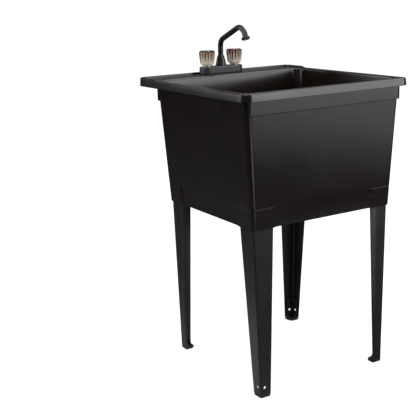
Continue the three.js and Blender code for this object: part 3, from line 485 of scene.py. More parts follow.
LEG_CORNER, LEG_LEAN = (-0.2241, -0.2609), (-0.013, 0.003)
LEG_FOOT, LEG_TOP = 0.006, 0.54465
LEG_SHEET, LEG_BEND, LEG_NARROW, LEG_WIDER = 0.0015, 0.0055, 0.034, 0.0309
HOLE_LEVEL, HOLE_IN, HOLE_RADIUS, HOLE_FRAME = 0.030, 0.015, 0.0038, 0.0075
SHEET_EDGE, FIRST_STRIP, LOW_END = 0.0003, 0.01, 0.3


def leg_corner(level, inward):
    """The front left leg's outer corner at a level, moved in both ways."""
    climb = level / SKIRT_FOOT
    x, y = (place + lean * climb + inward for place, lean in zip(LEG_CORNER, LEG_LEAN))
    return Vector((x, y, level))


def leg_width(level):
    return LEG_NARROW + LEG_WIDER * min(level / SKIRT_FOOT, 1)


def put(*moves):
    """Moves the corner nearest each old spot as far as its new spot is away."""
    for old, new in moves:
        near = min((v.co - old).length for v in mesh_now().verts)
        pick("VERT", lambda v: (v.co - old).length < near + NEAR)
        bpy.ops.transform.translate(value=new - old)


def sheet_angle(name, levels, inward, width_at):
    """An open sheet bent along the leg's corner, from its lowest level to its highest."""
    bpy.ops.mesh.primitive_plane_add(size=1, rotation=(math.pi / 2, 0, 0))
    obj = started(name)
    low, high, *higher = levels
    for level, z in ((low, -0.5), (high, 0.5)):
        new = leg_corner(level, inward)
        put(
            (Vector((-0.5, 0, z)), new),
            (Vector((0.5, 0, z)), new + along(0, width_at(level))),
        )
    for level in higher:
        pick("EDGE", lambda e: all(abs(v.co.z - high) < NEAR for v in e.verts))
        lift = along(2, level - high)
        extrude(lift)
        old, new = leg_corner(high, inward) + lift, leg_corner(level, inward)
        put((old, new), (old + along(0, width_at(high)), new + along(0, width_at(level))))
        high = level

    def on_corner(edge):
        return all((v.co - leg_corner(v.co.z, inward)).length < NEAR for v in edge.verts)

    pick("EDGE", on_corner)
    strip = along(1, FIRST_STRIP)
    extrude(strip)
    for level in levels:
        new = leg_corner(level, inward)
        put((new + strip, new + along(1, width_at(level))))
    return obj, on_corner


def face_sheet_outward():
    """Turns every face of an open sheet away from the inside of the angle."""
    bpy.ops.mesh.select_all(action="SELECT")
    bpy.ops.mesh.normals_make_consistent(inside=False)
    front = min(mesh_now().faces, key=lambda f: centre(f).y)
    if front.normal.y > 0:
        bpy.ops.mesh.flip_normals()


def punch(inward, radius):
    """Cuts a round hole in each wall of the angle, near its lower end."""
    middle = leg_corner(HOLE_LEVEL, HOLE_IN)
    for axis in (0, 1):
        across = 1 - axis

        def low_wall(face):
            spot = centre(face)
            near = leg_corner(spot.z, inward)
            return abs(spot[across] - near[across]) < CLOSE and spot.z < LOW_END

        for offset in (-HOLE_FRAME, HOLE_FRAME):
            for way in (axis, 2):
                cut_faces(low_wall, middle + along(way, offset), along(way, 1))

        def in_frame(face):
            off = centre(face) - middle
            return low_wall(face) and max(abs(off[axis]), abs(off.z)) < HOLE_FRAME

        pick("FACE", in_frame)
        bpy.ops.mesh.delete(type="FACE")
        spot = leg_corner(HOLE_LEVEL, inward)
        spot[axis] = middle[axis]
        turn = (math.pi / 2, 0, 0) if axis == 0 else (0, math.pi / 2, 0)
        bpy.ops.mesh.primitive_circle_add(vertices=16, radius=radius, location=spot, rotation=turn)

        def by_hole(edge):
            loose = edge.is_boundary or edge.is_wire
            return loose and (centre(edge) - spot).length < HOLE_FRAME * 1.2

        pick("EDGE", by_hole)
        bpy.ops.mesh.fill()


def apply_modifier(obj, kind, **values):
    modifier = obj.modifiers.new(kind.lower(), kind)
    for key, value in values.items():
        setattr(modifier, key, value)
    bpy.ops.object.modifier_apply(modifier=modifier.name)


def round_edges(obj, width, segments=2, angle=40):
    apply_modifier(
        obj, "BEVEL", width=width, segments=segments, limit_method="ANGLE",
        angle_limit=math.radians(angle),
    )


def copied(obj, name):
    """Another of the same piece, with its own mesh, open for editing and picked all over."""
    copy = obj.copy()
    copy.data = obj.data.copy()
    copy.name = name
    bpy.context.collection.objects.link(copy)
    edit(copy)
    bpy.ops.mesh.select_all(action="SELECT")
    return copy


def mirrored(obj, name, side, end):
    """Another of the same piece at another corner, mirrored across the sink's middle lines."""
    copy = copied(obj, name)
    bpy.ops.transform.resize(value=(side, end, 1), center_override=(0, BODY_MIDDLE, 0))
    bpy.ops.mesh.normals_make_consistent(inside=False)
    bpy.ops.object.mode_set(mode="OBJECT")
    return copy


leg_levels = (LEG_FOOT, SKIRT_FOOT, LEG_TOP)
leg, on_corner = sheet_angle("leg_sheet_front_left", leg_levels, 0, leg_width)
pick("EDGE", on_corner)
soften(LEG_BEND, 5)
punch(0, HOLE_RADIUS)
face_sheet_outward()
bpy.ops.object.mode_set(mode="OBJECT")
apply_modifier(leg, "SOLIDIFY", thickness=LEG_SHEET, offset=-1, use_even_offset=True)
round_edges(leg, SHEET_EDGE, 1, 60)
edit(leg)
finish_mesh(leg, 50)

# Satin black powder coat: a fine orange-peel skin that breaks up the highlights along each sheet,
# and a little bare greyness where the coat is rubbed.
# The peel is drawn a little coarser than the real 0.5 mm, so that it shows.
leg_coat = plain_finish(
    "powder_coated_sheet_steel", "#0c0c0d", "#131313", 40, 0.36, 0.46, 0.9, 0.045, IOR=1.5
)

CORNERS = (
    ("front_left", 1, 1), ("front_right", -1, 1), ("rear_left", 1, -1), ("rear_right", -1, -1),
)
for corner, side, end in CORNERS:
    piece = leg if corner == "front_left" else mirrored(leg, "leg_sheet_" + corner, side, end)
    dress(piece, leg_coat, "base", "leg_coat", "leg_" + corner)

# ---------------------------------------------------------------------------------------------
# Feet: pressed corner brackets nested in the legs' ends, each with a folded gusset at its two free
# edges and a floor pad. Their holes are in line with the legs' and larger, to be seen through.
# ---------------------------------------------------------------------------------------------

FOOT_SHEET, FOOT_NEST, FOOT_WIDTH, FOOT_HOLE = 0.0014, 0.00185, 0.027, 0.0055
FOOT_LOW, FOOT_TOP = 0.0026, 0.070
GUSSET_TOP, GUSSET_FOOT, GUSSET_FLARE = 0.0048, 0.017, 0.020
PAD, PAD_HEIGHT, PAD_CUT, PAD_EDGE = 0.033, 0.005, 0.010, 0.0008

foot_levels = (FOOT_LOW, GUSSET_FLARE, FOOT_TOP)
foot, on_corner = sheet_angle(
    "foot_bracket_front_left", foot_levels, FOOT_NEST, lambda level: FOOT_WIDTH
)
for axis in (0, 1):
    def on_free_edge(v):
        return abs(v.co[axis] - leg_corner(v.co.z, FOOT_NEST)[axis] - FOOT_WIDTH) < CLOSE

    pick("EDGE", lambda e: all(on_free_edge(v) for v in e.verts))
    fold = along(1 - axis, GUSSET_TOP)
    extrude(fold)
    edge_foot = leg_corner(FOOT_LOW, FOOT_NEST) + fold + along(axis, FOOT_WIDTH)
    put((edge_foot, edge_foot + along(1 - axis, GUSSET_FOOT - GUSSET_TOP)))
punch(FOOT_NEST, FOOT_HOLE)
pick("EDGE", on_corner)
soften(LEG_BEND - FOOT_NEST, 4)
face_sheet_outward()
bpy.ops.object.mode_set(mode="OBJECT")
apply_modifier(foot, "SOLIDIFY", thickness=FOOT_SHEET, offset=-1, use_even_offset=True)
round_edges(foot, SHEET_EDGE, 1, 60)

near_corner = Vector(LEG_CORNER)
far_corner = near_corner + Vector((PAD, PAD))
pad_middle = (*((near_corner + far_corner) / 2), PAD_HEIGHT / 2)
bpy.ops.mesh.primitive_cube_add(size=1, location=pad_middle)
pad = started("floor_pad", (PAD, PAD, PAD_HEIGHT))
for corner, width, segments in ((near_corner, LEG_BEND, 5), (far_corner, PAD_CUT, 1)):
    pick("EDGE", lambda e: all((v.co.xy - corner).length < NEAR for v in e.verts))
    soften(width, segments)
bpy.ops.object.mode_set(mode="OBJECT")
round_edges(pad, PAD_EDGE)


def joined(piece, other):
    """Makes another piece part of this one."""
    bpy.ops.object.select_all(action="DESELECT")
    other.select_set(True)
    piece.select_set(True)
    bpy.context.view_layer.objects.active = piece
    bpy.ops.object.join()


joined(foot, pad)
edit(foot)
finish_mesh(foot, 50)

# The same powder coat as the legs, slightly greyer, with scuffs where the pad drags on a floor.
foot_coat = plain_finish(
    "powder_coated_pressed_bracket", "#131314", "#222224", 16, 0.4, 0.52, 0.9, 0.045, IOR=1.5
)

for corner, side, end in CORNERS:
    piece = foot if corner == "front_left" else mirrored(foot, "foot_bracket_" + corner, side, end)
    dress(piece, foot_coat, "base", "foot_coat", "foot_" + corner)

# ---------------------------------------------------------------------------------------------
# Faucet body: a long low moulding with round ends and a rounded top edge, on a rubber gasket.
# ---------------------------------------------------------------------------------------------

FAUCET_Y, FAUCET_HALF, FAUCET_DEPTH = 0.2597, 0.076, 0.047
FAUCET_FOOT, FAUCET_TOP = 0.8627, 0.882
FAUCET_END, FAUCET_BROW, FAUCET_BASE = 0.0225, 0.004, 0.0006
VALVE_X, CHAMBER, SPOUT_BORE, BORE_DEPTH = 0.0508, 0.0124, 0.0108, 0.0132

bpy.ops.mesh.primitive_cube_add(size=1, location=(0, FAUCET_Y, (FAUCET_FOOT + FAUCET_TOP) / 2))
faucet = started("faucet_housing", (2 * FAUCET_HALF, FAUCET_DEPTH, FAUCET_TOP - FAUCET_FOOT))
pick("EDGE", lambda e: abs(e.verts[0].co.z - e.verts[1].co.z) > 0.01)
soften(FAUCET_END, 12)
for up, width, segments in ((1, FAUCET_BROW, 5), (-1, FAUCET_BASE, 2)):
    pick("FACE", lambda f: up * f.normal.z > 0.9)
    bpy.ops.mesh.region_to_loop()
    soften(width, segments)
pick("FACE", lambda f: f.normal.z > 0.999)
bpy.ops.mesh.delete(type="ONLY_FACE")
for x, radius in ((-VALVE_X, CHAMBER), (0, SPOUT_BORE), (VALVE_X, CHAMBER)):
    place = (x, FAUCET_Y, FAUCET_TOP)
    bpy.ops.mesh.primitive_circle_add(vertices=32, radius=radius, location=place)
pick("EDGE", lambda e: e.is_boundary or e.is_wire)
bpy.ops.mesh.fill()
pick("EDGE", lambda e: e.is_boundary)
extrude((0, 0, -BORE_DEPTH))
bpy.ops.mesh.edge_face_add()
finish_mesh(faucet, 35)

# Glass-filled plastic with a coarse mould texture: dark grey, with paler specks about 4 mm apart.
faucet_plastic = plain_finish(
    "textured_black_moulding", "#030303", "#3c3a3e", 4.2, 0.34, 0.48, 2.4, 0.35, IOR=1.5
)
dress(faucet, faucet_plastic, "base", "faucet_plastic", "faucet_body")

# ---------------------------------------------------------------------------------------------
# Spout: one length of tube bent twice, held by a cone screwed down on the body, with a rounded
# ring at its outlet.
# ---------------------------------------------------------------------------------------------

TUBE, TUBE_WALL, TUBE_FOOT = 0.0085, 0.0015, 0.8781
SPOUT_CORNER = Vector((0, FAUCET_Y, 0.9604))
ARM, TILT_FORWARD = math.radians(22.5), math.radians(20)
UPPER_CORNER = Vector((0, 0.1307, 1.01383))
OUTLET = Vector((0, 0.11404, 0.96807))
LOWER_BEND, UPPER_BEND = 0.027, 0.033

bpy.ops.mesh.primitive_circle_add(vertices=32, radius=TUBE, location=(0, FAUCET_Y, TUBE_FOOT))
spout = started("spout_bent_tube")
bpy.ops.mesh.select_all(action="SELECT")


def bend_point(corner, before, after, radius):
    """Where a bend between two directions of travel starts, its centre and its angle."""
    half = before.angle(after) / 2
    start = corner - before * radius * math.tan(half)
    inward = (after - before).normalized() * radius / math.cos(half)
    return start, corner + inward, 2 * half


def draw_to(spot):
    """Draws the picked ring out so that its middle comes to a spot."""
    ring = [v.co for v in mesh_now().verts if v.select]
    middle = sum(ring, Vector()) / len(ring)
    extrude(spot - middle)


upright = Vector((0, 0, 1))
arm_way = Vector((0, -math.cos(ARM), math.sin(ARM)))
down_way = Vector((0, -math.sin(TILT_FORWARD), -math.cos(TILT_FORWARD)))
for corner, before, after, radius in (
    (SPOUT_CORNER, upright, arm_way, LOWER_BEND),
    (UPPER_CORNER, arm_way, down_way, UPPER_BEND),
):
    start, middle, turn = bend_point(corner, before, after, radius)
    draw_to(start)
    bpy.ops.mesh.spin(steps=12, angle=-turn, center=middle, axis=(1, 0, 0))
draw_to(OUTLET)
bpy.ops.mesh.select_all(action="SELECT")
bpy.ops.mesh.normals_make_consistent(inside=False)
bpy.ops.object.mode_set(mode="OBJECT")
apply_modifier(spout, "SOLIDIFY", thickness=TUBE_WALL, offset=-1, use_even_offset=True)
edit(spout)
finish_mesh(spout, 50)


def turned(name, place, rings, width=0.0, sides=48):
    """A round piece drawn ring by ring, each a radius and a level, about an upright axis. A last
    ring of no radius closes it in the middle, and one equal to the first closes it round."""
    radius, level = rings[0]
    bpy.ops.mesh.primitive_circle_add(vertices=sides, radius=radius, location=(*place, level))
    obj = started(name)
    bpy.ops.mesh.select_all(action="SELECT")
    if rings[-1] != rings[0]:
        bpy.ops.mesh.edge_face_add()
        bpy.ops.mesh.select_all(action="SELECT")
        bpy.ops.mesh.select_mode(type="FACE")
    for (radius, level), (wide, high) in zip(rings, rings[1:]):
        extrude((0, 0, high - level))
        grow = wide / radius
        bpy.ops.transform.resize(value=(grow, grow, 1), center_override=(*place, high))
    finish_mesh(obj, 35)
    if width:
        round_edges(obj, width)
        edit(obj)
        finish_mesh(obj, 35)
    return obj


def mm(*rings):
    return [(radius / 1000, level / 1000) for radius, level in rings]


collar = turned("spout_cone", (0, FAUCET_Y), mm(
    (9.15, 882.35), (17.5, 882.35), (17.5, 884.35), (10.9, 913.95), (9.15, 913.95), (9.15, 882.35),
), 0.0006)
tip = turned("spout_outlet_ring", (0, OUTLET.y), mm(
    (9.15, 0), (11, 0), (12.2, 0.5), (13, 2), (13, 6.5), (12.2, 8), (11, 8.5), (9.15, 8.5),
    (9.15, 0),
))
edit(tip)
bpy.ops.mesh.select_all(action="SELECT")
bpy.ops.transform.rotate(value=TILT_FORWARD, orient_axis="X", center_override=(0, OUTLET.y, 0))
bpy.ops.transform.translate(value=(0, 0, OUTLET.z))
bpy.ops.object.mode_set(mode="OBJECT")

# Satin black lacquer over metal: smooth, so that the light runs along it in thin soft streaks.
spout_coat = plain_finish(
    "satin_black_lacquer", "#060607", "#0d0d0e", 16, 0.25, 0.35, 2.8, 0.06, IOR=1.5
)
dress(collar, spout_coat, "base", "spout_coat", "spout_collar")
dress(spout, spout_coat, "spout", "spout_coat", "spout_tube")
dress(tip, spout_coat, "spout", "spout_coat", "spout_tip")

# ---------------------------------------------------------------------------------------------
# Knobs: a fluted shell of smoky clear acrylic over a cream core, with a domed cap in its top that
# hides the screw.
# ---------------------------------------------------------------------------------------------

KNOB_FOOT, KNOB_TOP, KNOB_OUTSIDE = 0.890, 0.932, 0.0195
FLUTE, FLUTES, FLUTE_SIDES = 0.00192, 8, 8
HOT_AXIS = (-VALVE_X, FAUCET_Y)

shell = turned("hot_fluted_shell", HOT_AXIS, mm(
    (18.35, 890), (21.6, 890), (22.2, 890.8), (23.6, 900), (24.8, 910), (25.7, 918), (26, 922.5),
    (25.9, 925.5), (25.3, 928), (24.2, 930), (22.6, 931.4), (20.6, 932), (9.85, 932), (9.85, 928),
    (18.35, 928), (18.35, 890),
), sides=FLUTES * FLUTE_SIDES)
edit(shell)
for number in range(1, FLUTE_SIDES // 2 + 1):
    turn = number * 360 / (FLUTES * FLUTE_SIDES)

    def at_flute(v):
        x, y = v.co.x - HOT_AXIS[0], v.co.y - HOT_AXIS[1]
        around = math.degrees(math.atan2(y, x)) % (360 / FLUTES)
        off = abs(min(around, 360 / FLUTES - around) - turn)
        return off < 1 and math.hypot(x, y) > KNOB_OUTSIDE

    pick("VERT", at_flute)
    drawn_in = 1 - FLUTE / KNOB_OUTSIDE * (1 - math.cos(math.radians(FLUTES * turn))) / 2
    bpy.ops.transform.resize(value=(drawn_in, drawn_in, 1), center_override=(*HOT_AXIS, KNOB_FOOT))
finish_mesh(shell, 50)

core = turned("hot_cream_core", HOT_AXIS, mm(
    (4.35, 886), (18, 886), (18, 927.65), (4.85, 927.65), (4.85, 920.15), (4.35, 920.15),
    (4.35, 886),
), 0.0005)
cap = turned("hot_domed_cap", HOT_AXIS, mm(
    (9.5, 928), (9.5, 932), (9.18, 932.65), (8.23, 933.25), (6.72, 933.77), (4.75, 934.17),
    (2.46, 934.41), (0, 934.5),
))

# Smoky-tinted clear acrylic, polished, with a real pink-brown tint. Over it the colour is painted
# by height and round the axis:
# a near-white foot is painted light where the cream core shows, and the near-black thick roof and
# sixteen dark lines down the hollows and ribs of the flutes are painted shade.
smoky, tree, spot = empty_material("smoky_clear_acrylic")
x, y, z = add_node(tree, "ShaderNodeSeparateXYZ", [(spot, "Vector")]).outputs
height = add_node(
    tree, "ShaderNodeMapRange", [(z, "Value")], From_Min=KNOB_FOOT, From_Max=KNOB_TOP
)
side = add_node(tree, "ShaderNodeMath", [(x, 0)], operation="ABSOLUTE")
across = add_node(tree, "ShaderNodeMath", [(side, 0), (VALVE_X, 1)], operation="SUBTRACT")
deep = add_node(tree, "ShaderNodeMath", [(y, 0), (FAUCET_Y, 1)], operation="SUBTRACT")
turn = add_node(tree, "ShaderNodeMath", [(deep, 0), (across, 1)], operation="ARCTAN2")
# Painted shade in the flutes: sixteen darker lines round the axis, on the upper part of the shell.
waves = add_node(tree, "ShaderNodeMath", [(turn, 0), (2 * FLUTES, 1)], operation="MULTIPLY")
painted_flute_mask = add_node(tree, "ShaderNodeMath", [(waves, 0)], operation="COSINE")
painted_flute_mask = add_node(tree, "ShaderNodeMapRange", [(painted_flute_mask, "Value")], From_Min=-0.2, From_Max=0.6)
upper = add_node(tree, "ShaderNodeMapRange", [(height, "Value")], From_Min=0.08, From_Max=0.5)
painted_flute_shade = add_node(tree, "ShaderNodeMath", [(painted_flute_mask, 0), (upper, 1)], operation="MULTIPLY")
# Painted shade: the colour darkens towards the shell's two sides, where its wall is seen edge-on,
# standing in for the thicker smoky tint seen along the wall.
facing = add_node(tree, "ShaderNodeLayerWeight", Blend=0.5).outputs["Facing"]
painted_edge_shade = add_node(
    tree, "ShaderNodeMapRange", [(facing, "Value")], From_Min=0.5, From_Max=0.85, To_Max=0.9
)
painted_flute_shade = add_node(tree, "ShaderNodeMath", [(painted_flute_shade, 0), (painted_edge_shade, 1)], operation="MAXIMUM")
# Painted light and shade by height: near white at the foot, near black at the roof.
height_tint_and_painted_shade = add_node(tree, "ShaderNodeValToRGB", [(height, "Fac")], (
    (0.0, "#fff9ec"), (0.35, "#faead6"), (0.68, "#ecceb6"), (0.84, "#bd9480"), (0.92, "#1c1614"),
))
# The places of a Mix node's two colours among its inputs, and of the mixed one in its outputs.
MIX_A, MIX_B, MIXED = 6, 7, 2
feeds = [(painted_flute_shade, 0), (height_tint_and_painted_shade, MIX_A), (linear("#1f1512"), MIX_B)]
tint = add_node(tree, "ShaderNodeMix", feeds, data_type="RGBA").outputs[MIXED]
shader = add_node(
    tree, "ShaderNodeBsdfPrincipled", [(tint, "Base Color")],
    IOR=1.49, Transmission_Weight=0.3, Roughness=0.1,
)
add_node(tree, "ShaderNodeOutputMaterial", [(shader, "Surface")])

# Cream styrene and a pale pink acrylic cap, each with a faint mottle from the moulding.
cream = plain_finish(
    "cream_moulded_styrene", "#cbb798", "#e2d4b8", 4.5, 0.3, 0.4, 1.5, 0.01, IOR=1.55
)
pink = plain_finish(
    "pale_pink_acrylic", "#c79f90", "#dcbcae", 3.3, 0.18, 0.24, 1.5, 0.01, IOR=1.49
)


def cold_copy(obj):
    """The same piece on the cold valve, named for it."""
    copy = copied(obj, obj.name.replace("hot", "cold"))
    bpy.ops.transform.translate(value=(2 * VALVE_X, 0, 0))
    bpy.ops.object.mode_set(mode="OBJECT")
    return copy


for made, kind, slot_name, finish in (
    (shell, "knob", "smoky_acrylic", smoky), (core, "knob_core", "cream_plastic", cream),
    (cap, "knob_cap", "pink_plastic", pink),
):
    other = cold_copy(made)
    dress(made, finish, "hot_handle", slot_name, "hot_" + kind)
    dress(other, finish, "cold_handle", slot_name, "cold_" + kind)

# ---------------------------------------------------------------------------------------------
# Valves: a threaded brass shank through the deck under each knob, held by a plastic wing nut, with
# a brass bonnet over the stem. The stem, its screw and the rubber washer keep their CAD shapes.
# ---------------------------------------------------------------------------------------------

SHANK_CREST, SHANK_ROOT, SHANK_BORE = 10.4, 9.6, 6.5
SHANK_FOOT, THREAD_START, THREAD_END, SHANK_TOP = 814.7, 815.6, 862, 868.7
THREAD_PITCH = 1.814
NUT_RIM, NUT_NECK, NUT_SIDES, NUT_EDGE = 0.8, 0.16, 48, 0.0004


def thread(start, end, pitch, root, crest):
    """The rings of a screw thread drawn as ridges, a pitch apart, in mm."""
    rings = []
    for number in range(int((end - start) / pitch)):
        level = start + number * pitch
        rings += [(root, level), (crest, level + 0.45 * pitch), (crest, level + 0.55 * pitch)]
    return rings


def lugged_nut(name, place, bore, body, reach_out, foot, top, lugs):
    """A round nut with a bore and blocky lugs round its middle, in mm, the first towards +Y."""
    inset = NUT_RIM + (top - foot) * NUT_NECK
    lug_foot, lug_top = foot + inset, top - inset
    nut = turned(name, place, mm(
        (bore, foot), (body - NUT_RIM, foot), (body, foot + NUT_RIM), (body, lug_foot),
        (body, lug_top), (body, top - NUT_RIM), (body - NUT_RIM, top), (bore, top), (bore, foot),
    ), sides=NUT_SIDES)
    edit(nut)

    def at_lug(face):
        spot = centre(face) - Vector((*place, 0))
        around = math.degrees(math.atan2(spot.y, spot.x)) - 90
        off = (around + 180 / lugs) % (360 / lugs) - 180 / lugs
        outside = spot.xy.length > (bore + body) / 2000
        return outside and lug_foot < spot.z * 1000 < lug_top and abs(off) < 360 / NUT_SIDES

    pick("FACE", at_lug)
    extrude()
    grow = reach_out / body
    bpy.ops.transform.resize(value=(grow, grow, 1), center_override=(*place, lug_foot / 1000))
    finish_mesh(nut, 35)
    round_edges(nut, NUT_EDGE)
    edit(nut)
    return finish_mesh(nut, 35)


def refinish(material, *nodes):
    """Gives CAD nodes whose shape is right a better material."""
    for node in nodes:
        for slot in bpy.data.objects[node].material_slots:
            slot.material = material


shank = turned("hot_threaded_shank", HOT_AXIS, mm(
    (SHANK_BORE, SHANK_FOOT), (SHANK_ROOT, SHANK_FOOT),
    *thread(THREAD_START, THREAD_END, THREAD_PITCH, SHANK_ROOT, SHANK_CREST),
    (SHANK_CREST, THREAD_END), (SHANK_CREST, SHANK_TOP), (SHANK_BORE, SHANK_TOP),
    (SHANK_BORE, SHANK_FOOT),
), sides=32)
wing_nut = lugged_nut("hot_wing_nut", HOT_AXIS, 10.75, 14.2, 17, 846.15, 855.65, 6)
bonnet = turned("hot_bonnet", HOT_AXIS, mm(
    (4.35, 874.35), (12.05, 874.35), (12.05, 884.7), (11.4, 885.6), (6, 885.6), (5.2, 885),
    (4.35, 885), (4.35, 874.35),
), 0.0003)

# Turned brass: warm yellow, with fine tool marks that blur its highlights. The bonnets, which
# show under the knobs, are plated pale with nickel.
nickel = plain_finish(
    "nickel_plated_brass", "#cdc3ae", "#e3dccb", 8, 0.2, 0.3, 0.7, 0.01, Metallic=1.0
)
brass = plain_finish("turned_brass", "#b58a4a", "#cda562", 8, 0.22, 0.34, 0.7, 0.01, Metallic=1.0)
# Moulded acetal nuts: cool white, waxy, with a faint sink-mark waviness.
acetal = plain_finish(
    "moulded_white_acetal", "#d9d8d2", "#e9e8e3", 14, 0.32, 0.42, 1.2, 0.02, IOR=1.48
)
# Moulded nitrile rubber: near black and dull, with a powdery bloom.
nitrile = plain_finish(
    "moulded_nitrile_rubber", "#141414", "#232323", 9, 0.6, 0.75, 0.8, 0.03, IOR=1.52
)

for made, node, slot_name, finish in (
    (shank, "shank", "brass", brass), (wing_nut, "locknut", "white_plastic", acetal),
    (bonnet, "bonnet_nut", "brass", nickel),
):
    other = cold_copy(made)
    dress(made, finish, "base", slot_name, "hot_" + node)
    dress(other, finish, "base", slot_name, "cold_" + node)
refinish(brass, "hot_valve_stem", "cold_valve_stem", "hot_handle_screw", "cold_handle_screw")
refinish(nitrile, "hot_seat_washer", "cold_seat_washer", "faucet_gasket", "spout_oring")
refinish(acetal, "aerator_insert")

# ---------------------------------------------------------------------------------------------
# Waste: a pressed steel flange and cup through the bowl's floor, clamped from below by a plastic
# nut on a rubber seal and a slip washer, with a strainer on its ledge. The seals and the strainer
# keep their CAD shapes.
# ---------------------------------------------------------------------------------------------

WASTE_AXIS = (0, -0.035)

flange = turned("waste_flange", WASTE_AXIS, mm(
    (25.5, 549.35), (44, 549.35), (44, 550.1), (43.5, 551), (42.2, 551.8), (39.5, 552.25),
    (36, 552.35), (28.9, 552.35), (28.1, 552.15), (27.5, 551.7), (22, 545.85), (22, 530),
    (16.5, 530), (16.5, 526), (19.35, 526), (19.35, 505), (25.5, 505), (25.5, 549.35),
))
waste_nut = lugged_nut("waste_nut", WASTE_AXIS, 25.85, 35, 40, 528.95, 538.95, 8)

# Stainless steel, polished by a wheel: bright, with a fine haze that stretches its reflections.
steel = plain_finish(
    "polished_stainless_steel", "#b4b4b6", "#c8c8c9", 12, 0.14, 0.24, 0.9, 0.008, Metallic=1.0
)
dress(flange, steel, "base", "steel", "drain_flange")
dress(waste_nut, acetal, "base", "white_plastic", "drain_locknut")
refinish(steel, "drain_strainer")
refinish(nitrile, "drain_gasket", "slip_washer")
refinish(acetal, "drain_washer")

# ---------------------------------------------------------------------------------------------
# Tailpiece: a plastic pipe pushed up into the waste, held by a slip nut with grips round it.
# ---------------------------------------------------------------------------------------------

tail = turned("waste_tailpiece", WASTE_AXIS, mm(
    (17.4, 431), (19, 431), (19, 470), (19, 523), (17.4, 523), (17.4, 431),
), 0.0004)
slip_nut = lugged_nut("waste_slip_nut", WASTE_AXIS, 25.85, 28.5, 31, 501.9, 512.9, 12)
slip_floor = turned("slip_nut_floor", WASTE_AXIS, mm(
    (19.35, 498.9), (27, 498.9), (28, 499.8), (28.3, 501.95), (19.35, 501.95), (19.35, 498.9),
))
joined(slip_nut, slip_floor)
dress(tail, acetal, "base", "white_plastic", "tailpiece")
dress(slip_nut, acetal, "base", "white_plastic", "slip_nut")

# ---------------------------------------------------------------------------------------------
# Stopper: a loose rubber plug whose cone sits in the waste's mouth, with a knob to lift it by.
# ---------------------------------------------------------------------------------------------

plug = turned("rubber_stopper", WASTE_AXIS, mm(
    (19.8, 540.85), (20.9, 541.6), (21.3, 545.85), (27.3, 552.35), (27.3, 554.7), (26.5, 555.35),
    (9, 555.35), (6.4, 556), (4.7, 557.6), (4.2, 560), (4.9, 562), (6.6, 563.4), (7, 565),
    (6.6, 566.8), (5.2, 568), (3, 568.35), (0, 568.35),
))
dress(plug, nitrile, "stopper", "rubber", "stopper")

# ---------------------------------------------------------------------------------------------
# Stage: a pale floor that runs into a white surround, dim behind the camera. In front stand the
# key light, a small box at its edge and two low ones. A wide and a small one stand on the left,
# and three hang above.
# ---------------------------------------------------------------------------------------------

FLOOR_SIZE, FLOOR_GLOW, POOL_START, POOL_END = 60, 0.70, 1.2, 3.5
BACKDROP_FROM = (0, 0, 0.8)
BACKDROP_WAY = (0.4667, 0.7766, -0.4226)
BACKDROP_START, BACKDROP_FULL = 0.866, 0.9135
SURROUND_DIM = 0.12
# The centre and reach of the painted pool of light on the floor.
PAINTED_POOL_SPOT, PAINTED_POOL_REACH = (-0.4, 0, 0), 2

bpy.ops.mesh.primitive_plane_add(size=FLOOR_SIZE)
floor = bpy.context.object
floor.name = "floor"


def seen_rays(tree, way):
    """How far a ray shows the white background: to the camera from all round, and in gloss and
    clear plastic from the side where the backdrop lies, as the rest of the studio is dim."""
    path = add_node(tree, "ShaderNodeLightPath")
    feeds = [(path.outputs["Is Glossy Ray"], 0), (path.outputs["Is Transmission Ray"], 1)]
    in_gloss = add_node(tree, "ShaderNodeMath", feeds, operation="MAXIMUM")
    feeds = [(way, 0), (BACKDROP_WAY, 1)]
    facing = add_node(tree, "ShaderNodeVectorMath", feeds, operation="DOT_PRODUCT")
    hung = add_node(
        tree, "ShaderNodeMapRange", [(facing.outputs["Value"], "Value")],
        From_Min=BACKDROP_START, From_Max=BACKDROP_FULL,
    )
    held = add_node(tree, "ShaderNodeMath", [(in_gloss, 0), (hung, 1)], operation="MULTIPLY")
    feeds = [(path.outputs["Is Camera Ray"], 0), (held, 1)]
    return add_node(tree, "ShaderNodeMath", feeds, operation="MAXIMUM"), path


# White vinyl floor: it takes the soft shadow near the sink and fades to plain white further off.
# It throws less light back at the sink than it shows to the camera.
studio_floor, tree, spot = empty_material("pale_studio_floor")
away = add_node(tree, "ShaderNodeVectorMath", [(spot, 0)], operation="LENGTH").outputs["Value"]
feeds = [(spot, 0), (BACKDROP_FROM, 1)]
from_sink = add_node(tree, "ShaderNodeVectorMath", feeds, operation="SUBTRACT")
way = add_node(tree, "ShaderNodeVectorMath", [(from_sink, 0)], operation="NORMALIZE")
pool = add_node(
    tree, "ShaderNodeMapRange", [(away, "Value")],
    From_Min=POOL_START, From_Max=POOL_END, To_Min=FLOOR_GLOW, To_Max=1,
)
seen, path = seen_rays(tree, way)
# Painted pool of light: the floor's colour for every ray but the camera's is brightest under the
# sink's left side and darker further off, so that it throws painted light up at the legs.
feeds = [(spot, 0), (PAINTED_POOL_SPOT, 1)]
painted_pool_distance = add_node(tree, "ShaderNodeVectorMath", feeds, operation="DISTANCE")
painted_pool_nearness = add_node(
    tree, "ShaderNodeMapRange", [(painted_pool_distance.outputs["Value"], "Value")], From_Max=PAINTED_POOL_REACH
)
painted_light_pool = add_node(tree, "ShaderNodeValToRGB", [(painted_pool_nearness, "Fac")], (
    (0.1, "#e2e2e2"), (0.2, "#989898"), (0.32, "#6c6c6c"), (0.54, "#666666"), (1, "#505050"),
))
matte = add_node(tree, "ShaderNodeBsdfDiffuse", [(painted_light_pool, "Color")])
shown = add_node(tree, "ShaderNodeBsdfDiffuse", Color=linear("#b9b9b9"))
feeds = [(path.outputs["Is Camera Ray"], "Fac"), (matte, 1), (shown, 2)]
shader = add_node(tree, "ShaderNodeMixShader", feeds)
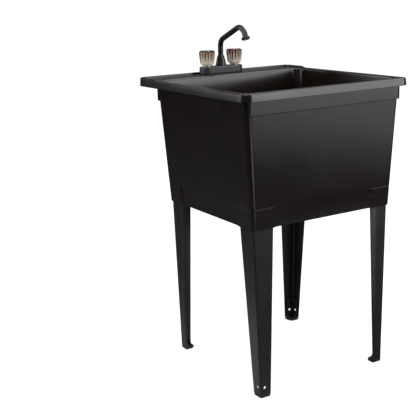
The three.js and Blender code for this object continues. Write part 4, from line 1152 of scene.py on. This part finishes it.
glow = add_node(tree, "ShaderNodeMath", [(seen, 0), (pool, 1)], operation="MULTIPLY")
white = add_node(tree, "ShaderNodeEmission", [(glow, "Strength")])
both = add_node(tree, "ShaderNodeAddShader", [(shader, 0), (white, 1)])
add_node(tree, "ShaderNodeOutputMaterial", [(both, "Surface")])
floor.data.materials.append(studio_floor)

world = bpy.data.worlds.new("white_surround")
world.use_nodes = True
bpy.context.scene.world = world
tree = world.node_tree
tree.nodes.clear()
way = add_node(tree, "ShaderNodeTexCoord").outputs["Generated"]
dim = add_node(tree, "ShaderNodeBackground", Color=linear("#ffffff"), Strength=SURROUND_DIM)
shown = add_node(tree, "ShaderNodeBackground", Color=linear("#ffffff"))
feeds = [(seen_rays(tree, way)[0], "Fac"), (dim, 1), (shown, 2)]
mix = add_node(tree, "ShaderNodeMixShader", feeds)
add_node(tree, "ShaderNodeOutputWorld", [(mix, "Surface")])


def softbox(name, place, aim, width, height, radiance):
    """A rectangular white lamp, set by how bright its face is, where 1 is white."""
    bpy.ops.object.light_add(type="AREA", location=place)
    lamp = bpy.context.object
    lamp.name = name
    lamp.data.shape = "RECTANGLE"
    lamp.data.size, lamp.data.size_y = width, height
    lamp.data.energy = radiance * math.pi * width * height
    lamp.rotation_euler = (Vector(aim) - Vector(place)).to_track_quat("-Z", "Y").to_euler()
    lamp.visible_camera = False


softbox("key_front_right", (1.11, -1.46, 1.40), (-0.28, -0.29, 1.15), 1.4, 1.43, 4)
softbox("low_front_right", (2.15, -2.38, 0.28), (0, 0, 0.6), 2.7, 0.5, 1.4)
softbox("key_edge", (0.70, -1.75, 1.15), (-0.28, -0.29, 0.85), 0.34, 0.44, 2.5)
softbox("low_front", (-0.15, -1.78, 0.24), (-0.28, -0.29, 0.3), 0.66, 0.42, 1.8)
softbox("high_front", (-1.3, -1.9, 3.2), (0, 0, 0.85), 1.6, 1.6, 5)
softbox("fill_left", (-3.0, 1.15, 2.2), (0, 0, 1.0), 3.6, 2.8, 2.4)
softbox("left_edge", (-1.96, 2.2, 1.3), (-0.28, 0, 0.85), 0.7, 0.7, 3.8)
softbox("overhead", (0, 0.3, 3.2), (0, 0, 0), 2.4, 2.4, 1.5)
softbox("rim_light", (1.5, 0.1, 3.0), (0, 0.1, 0.86), 1.2, 1.6, 6)

bpy.context.scene.view_settings.view_transform = "Standard"
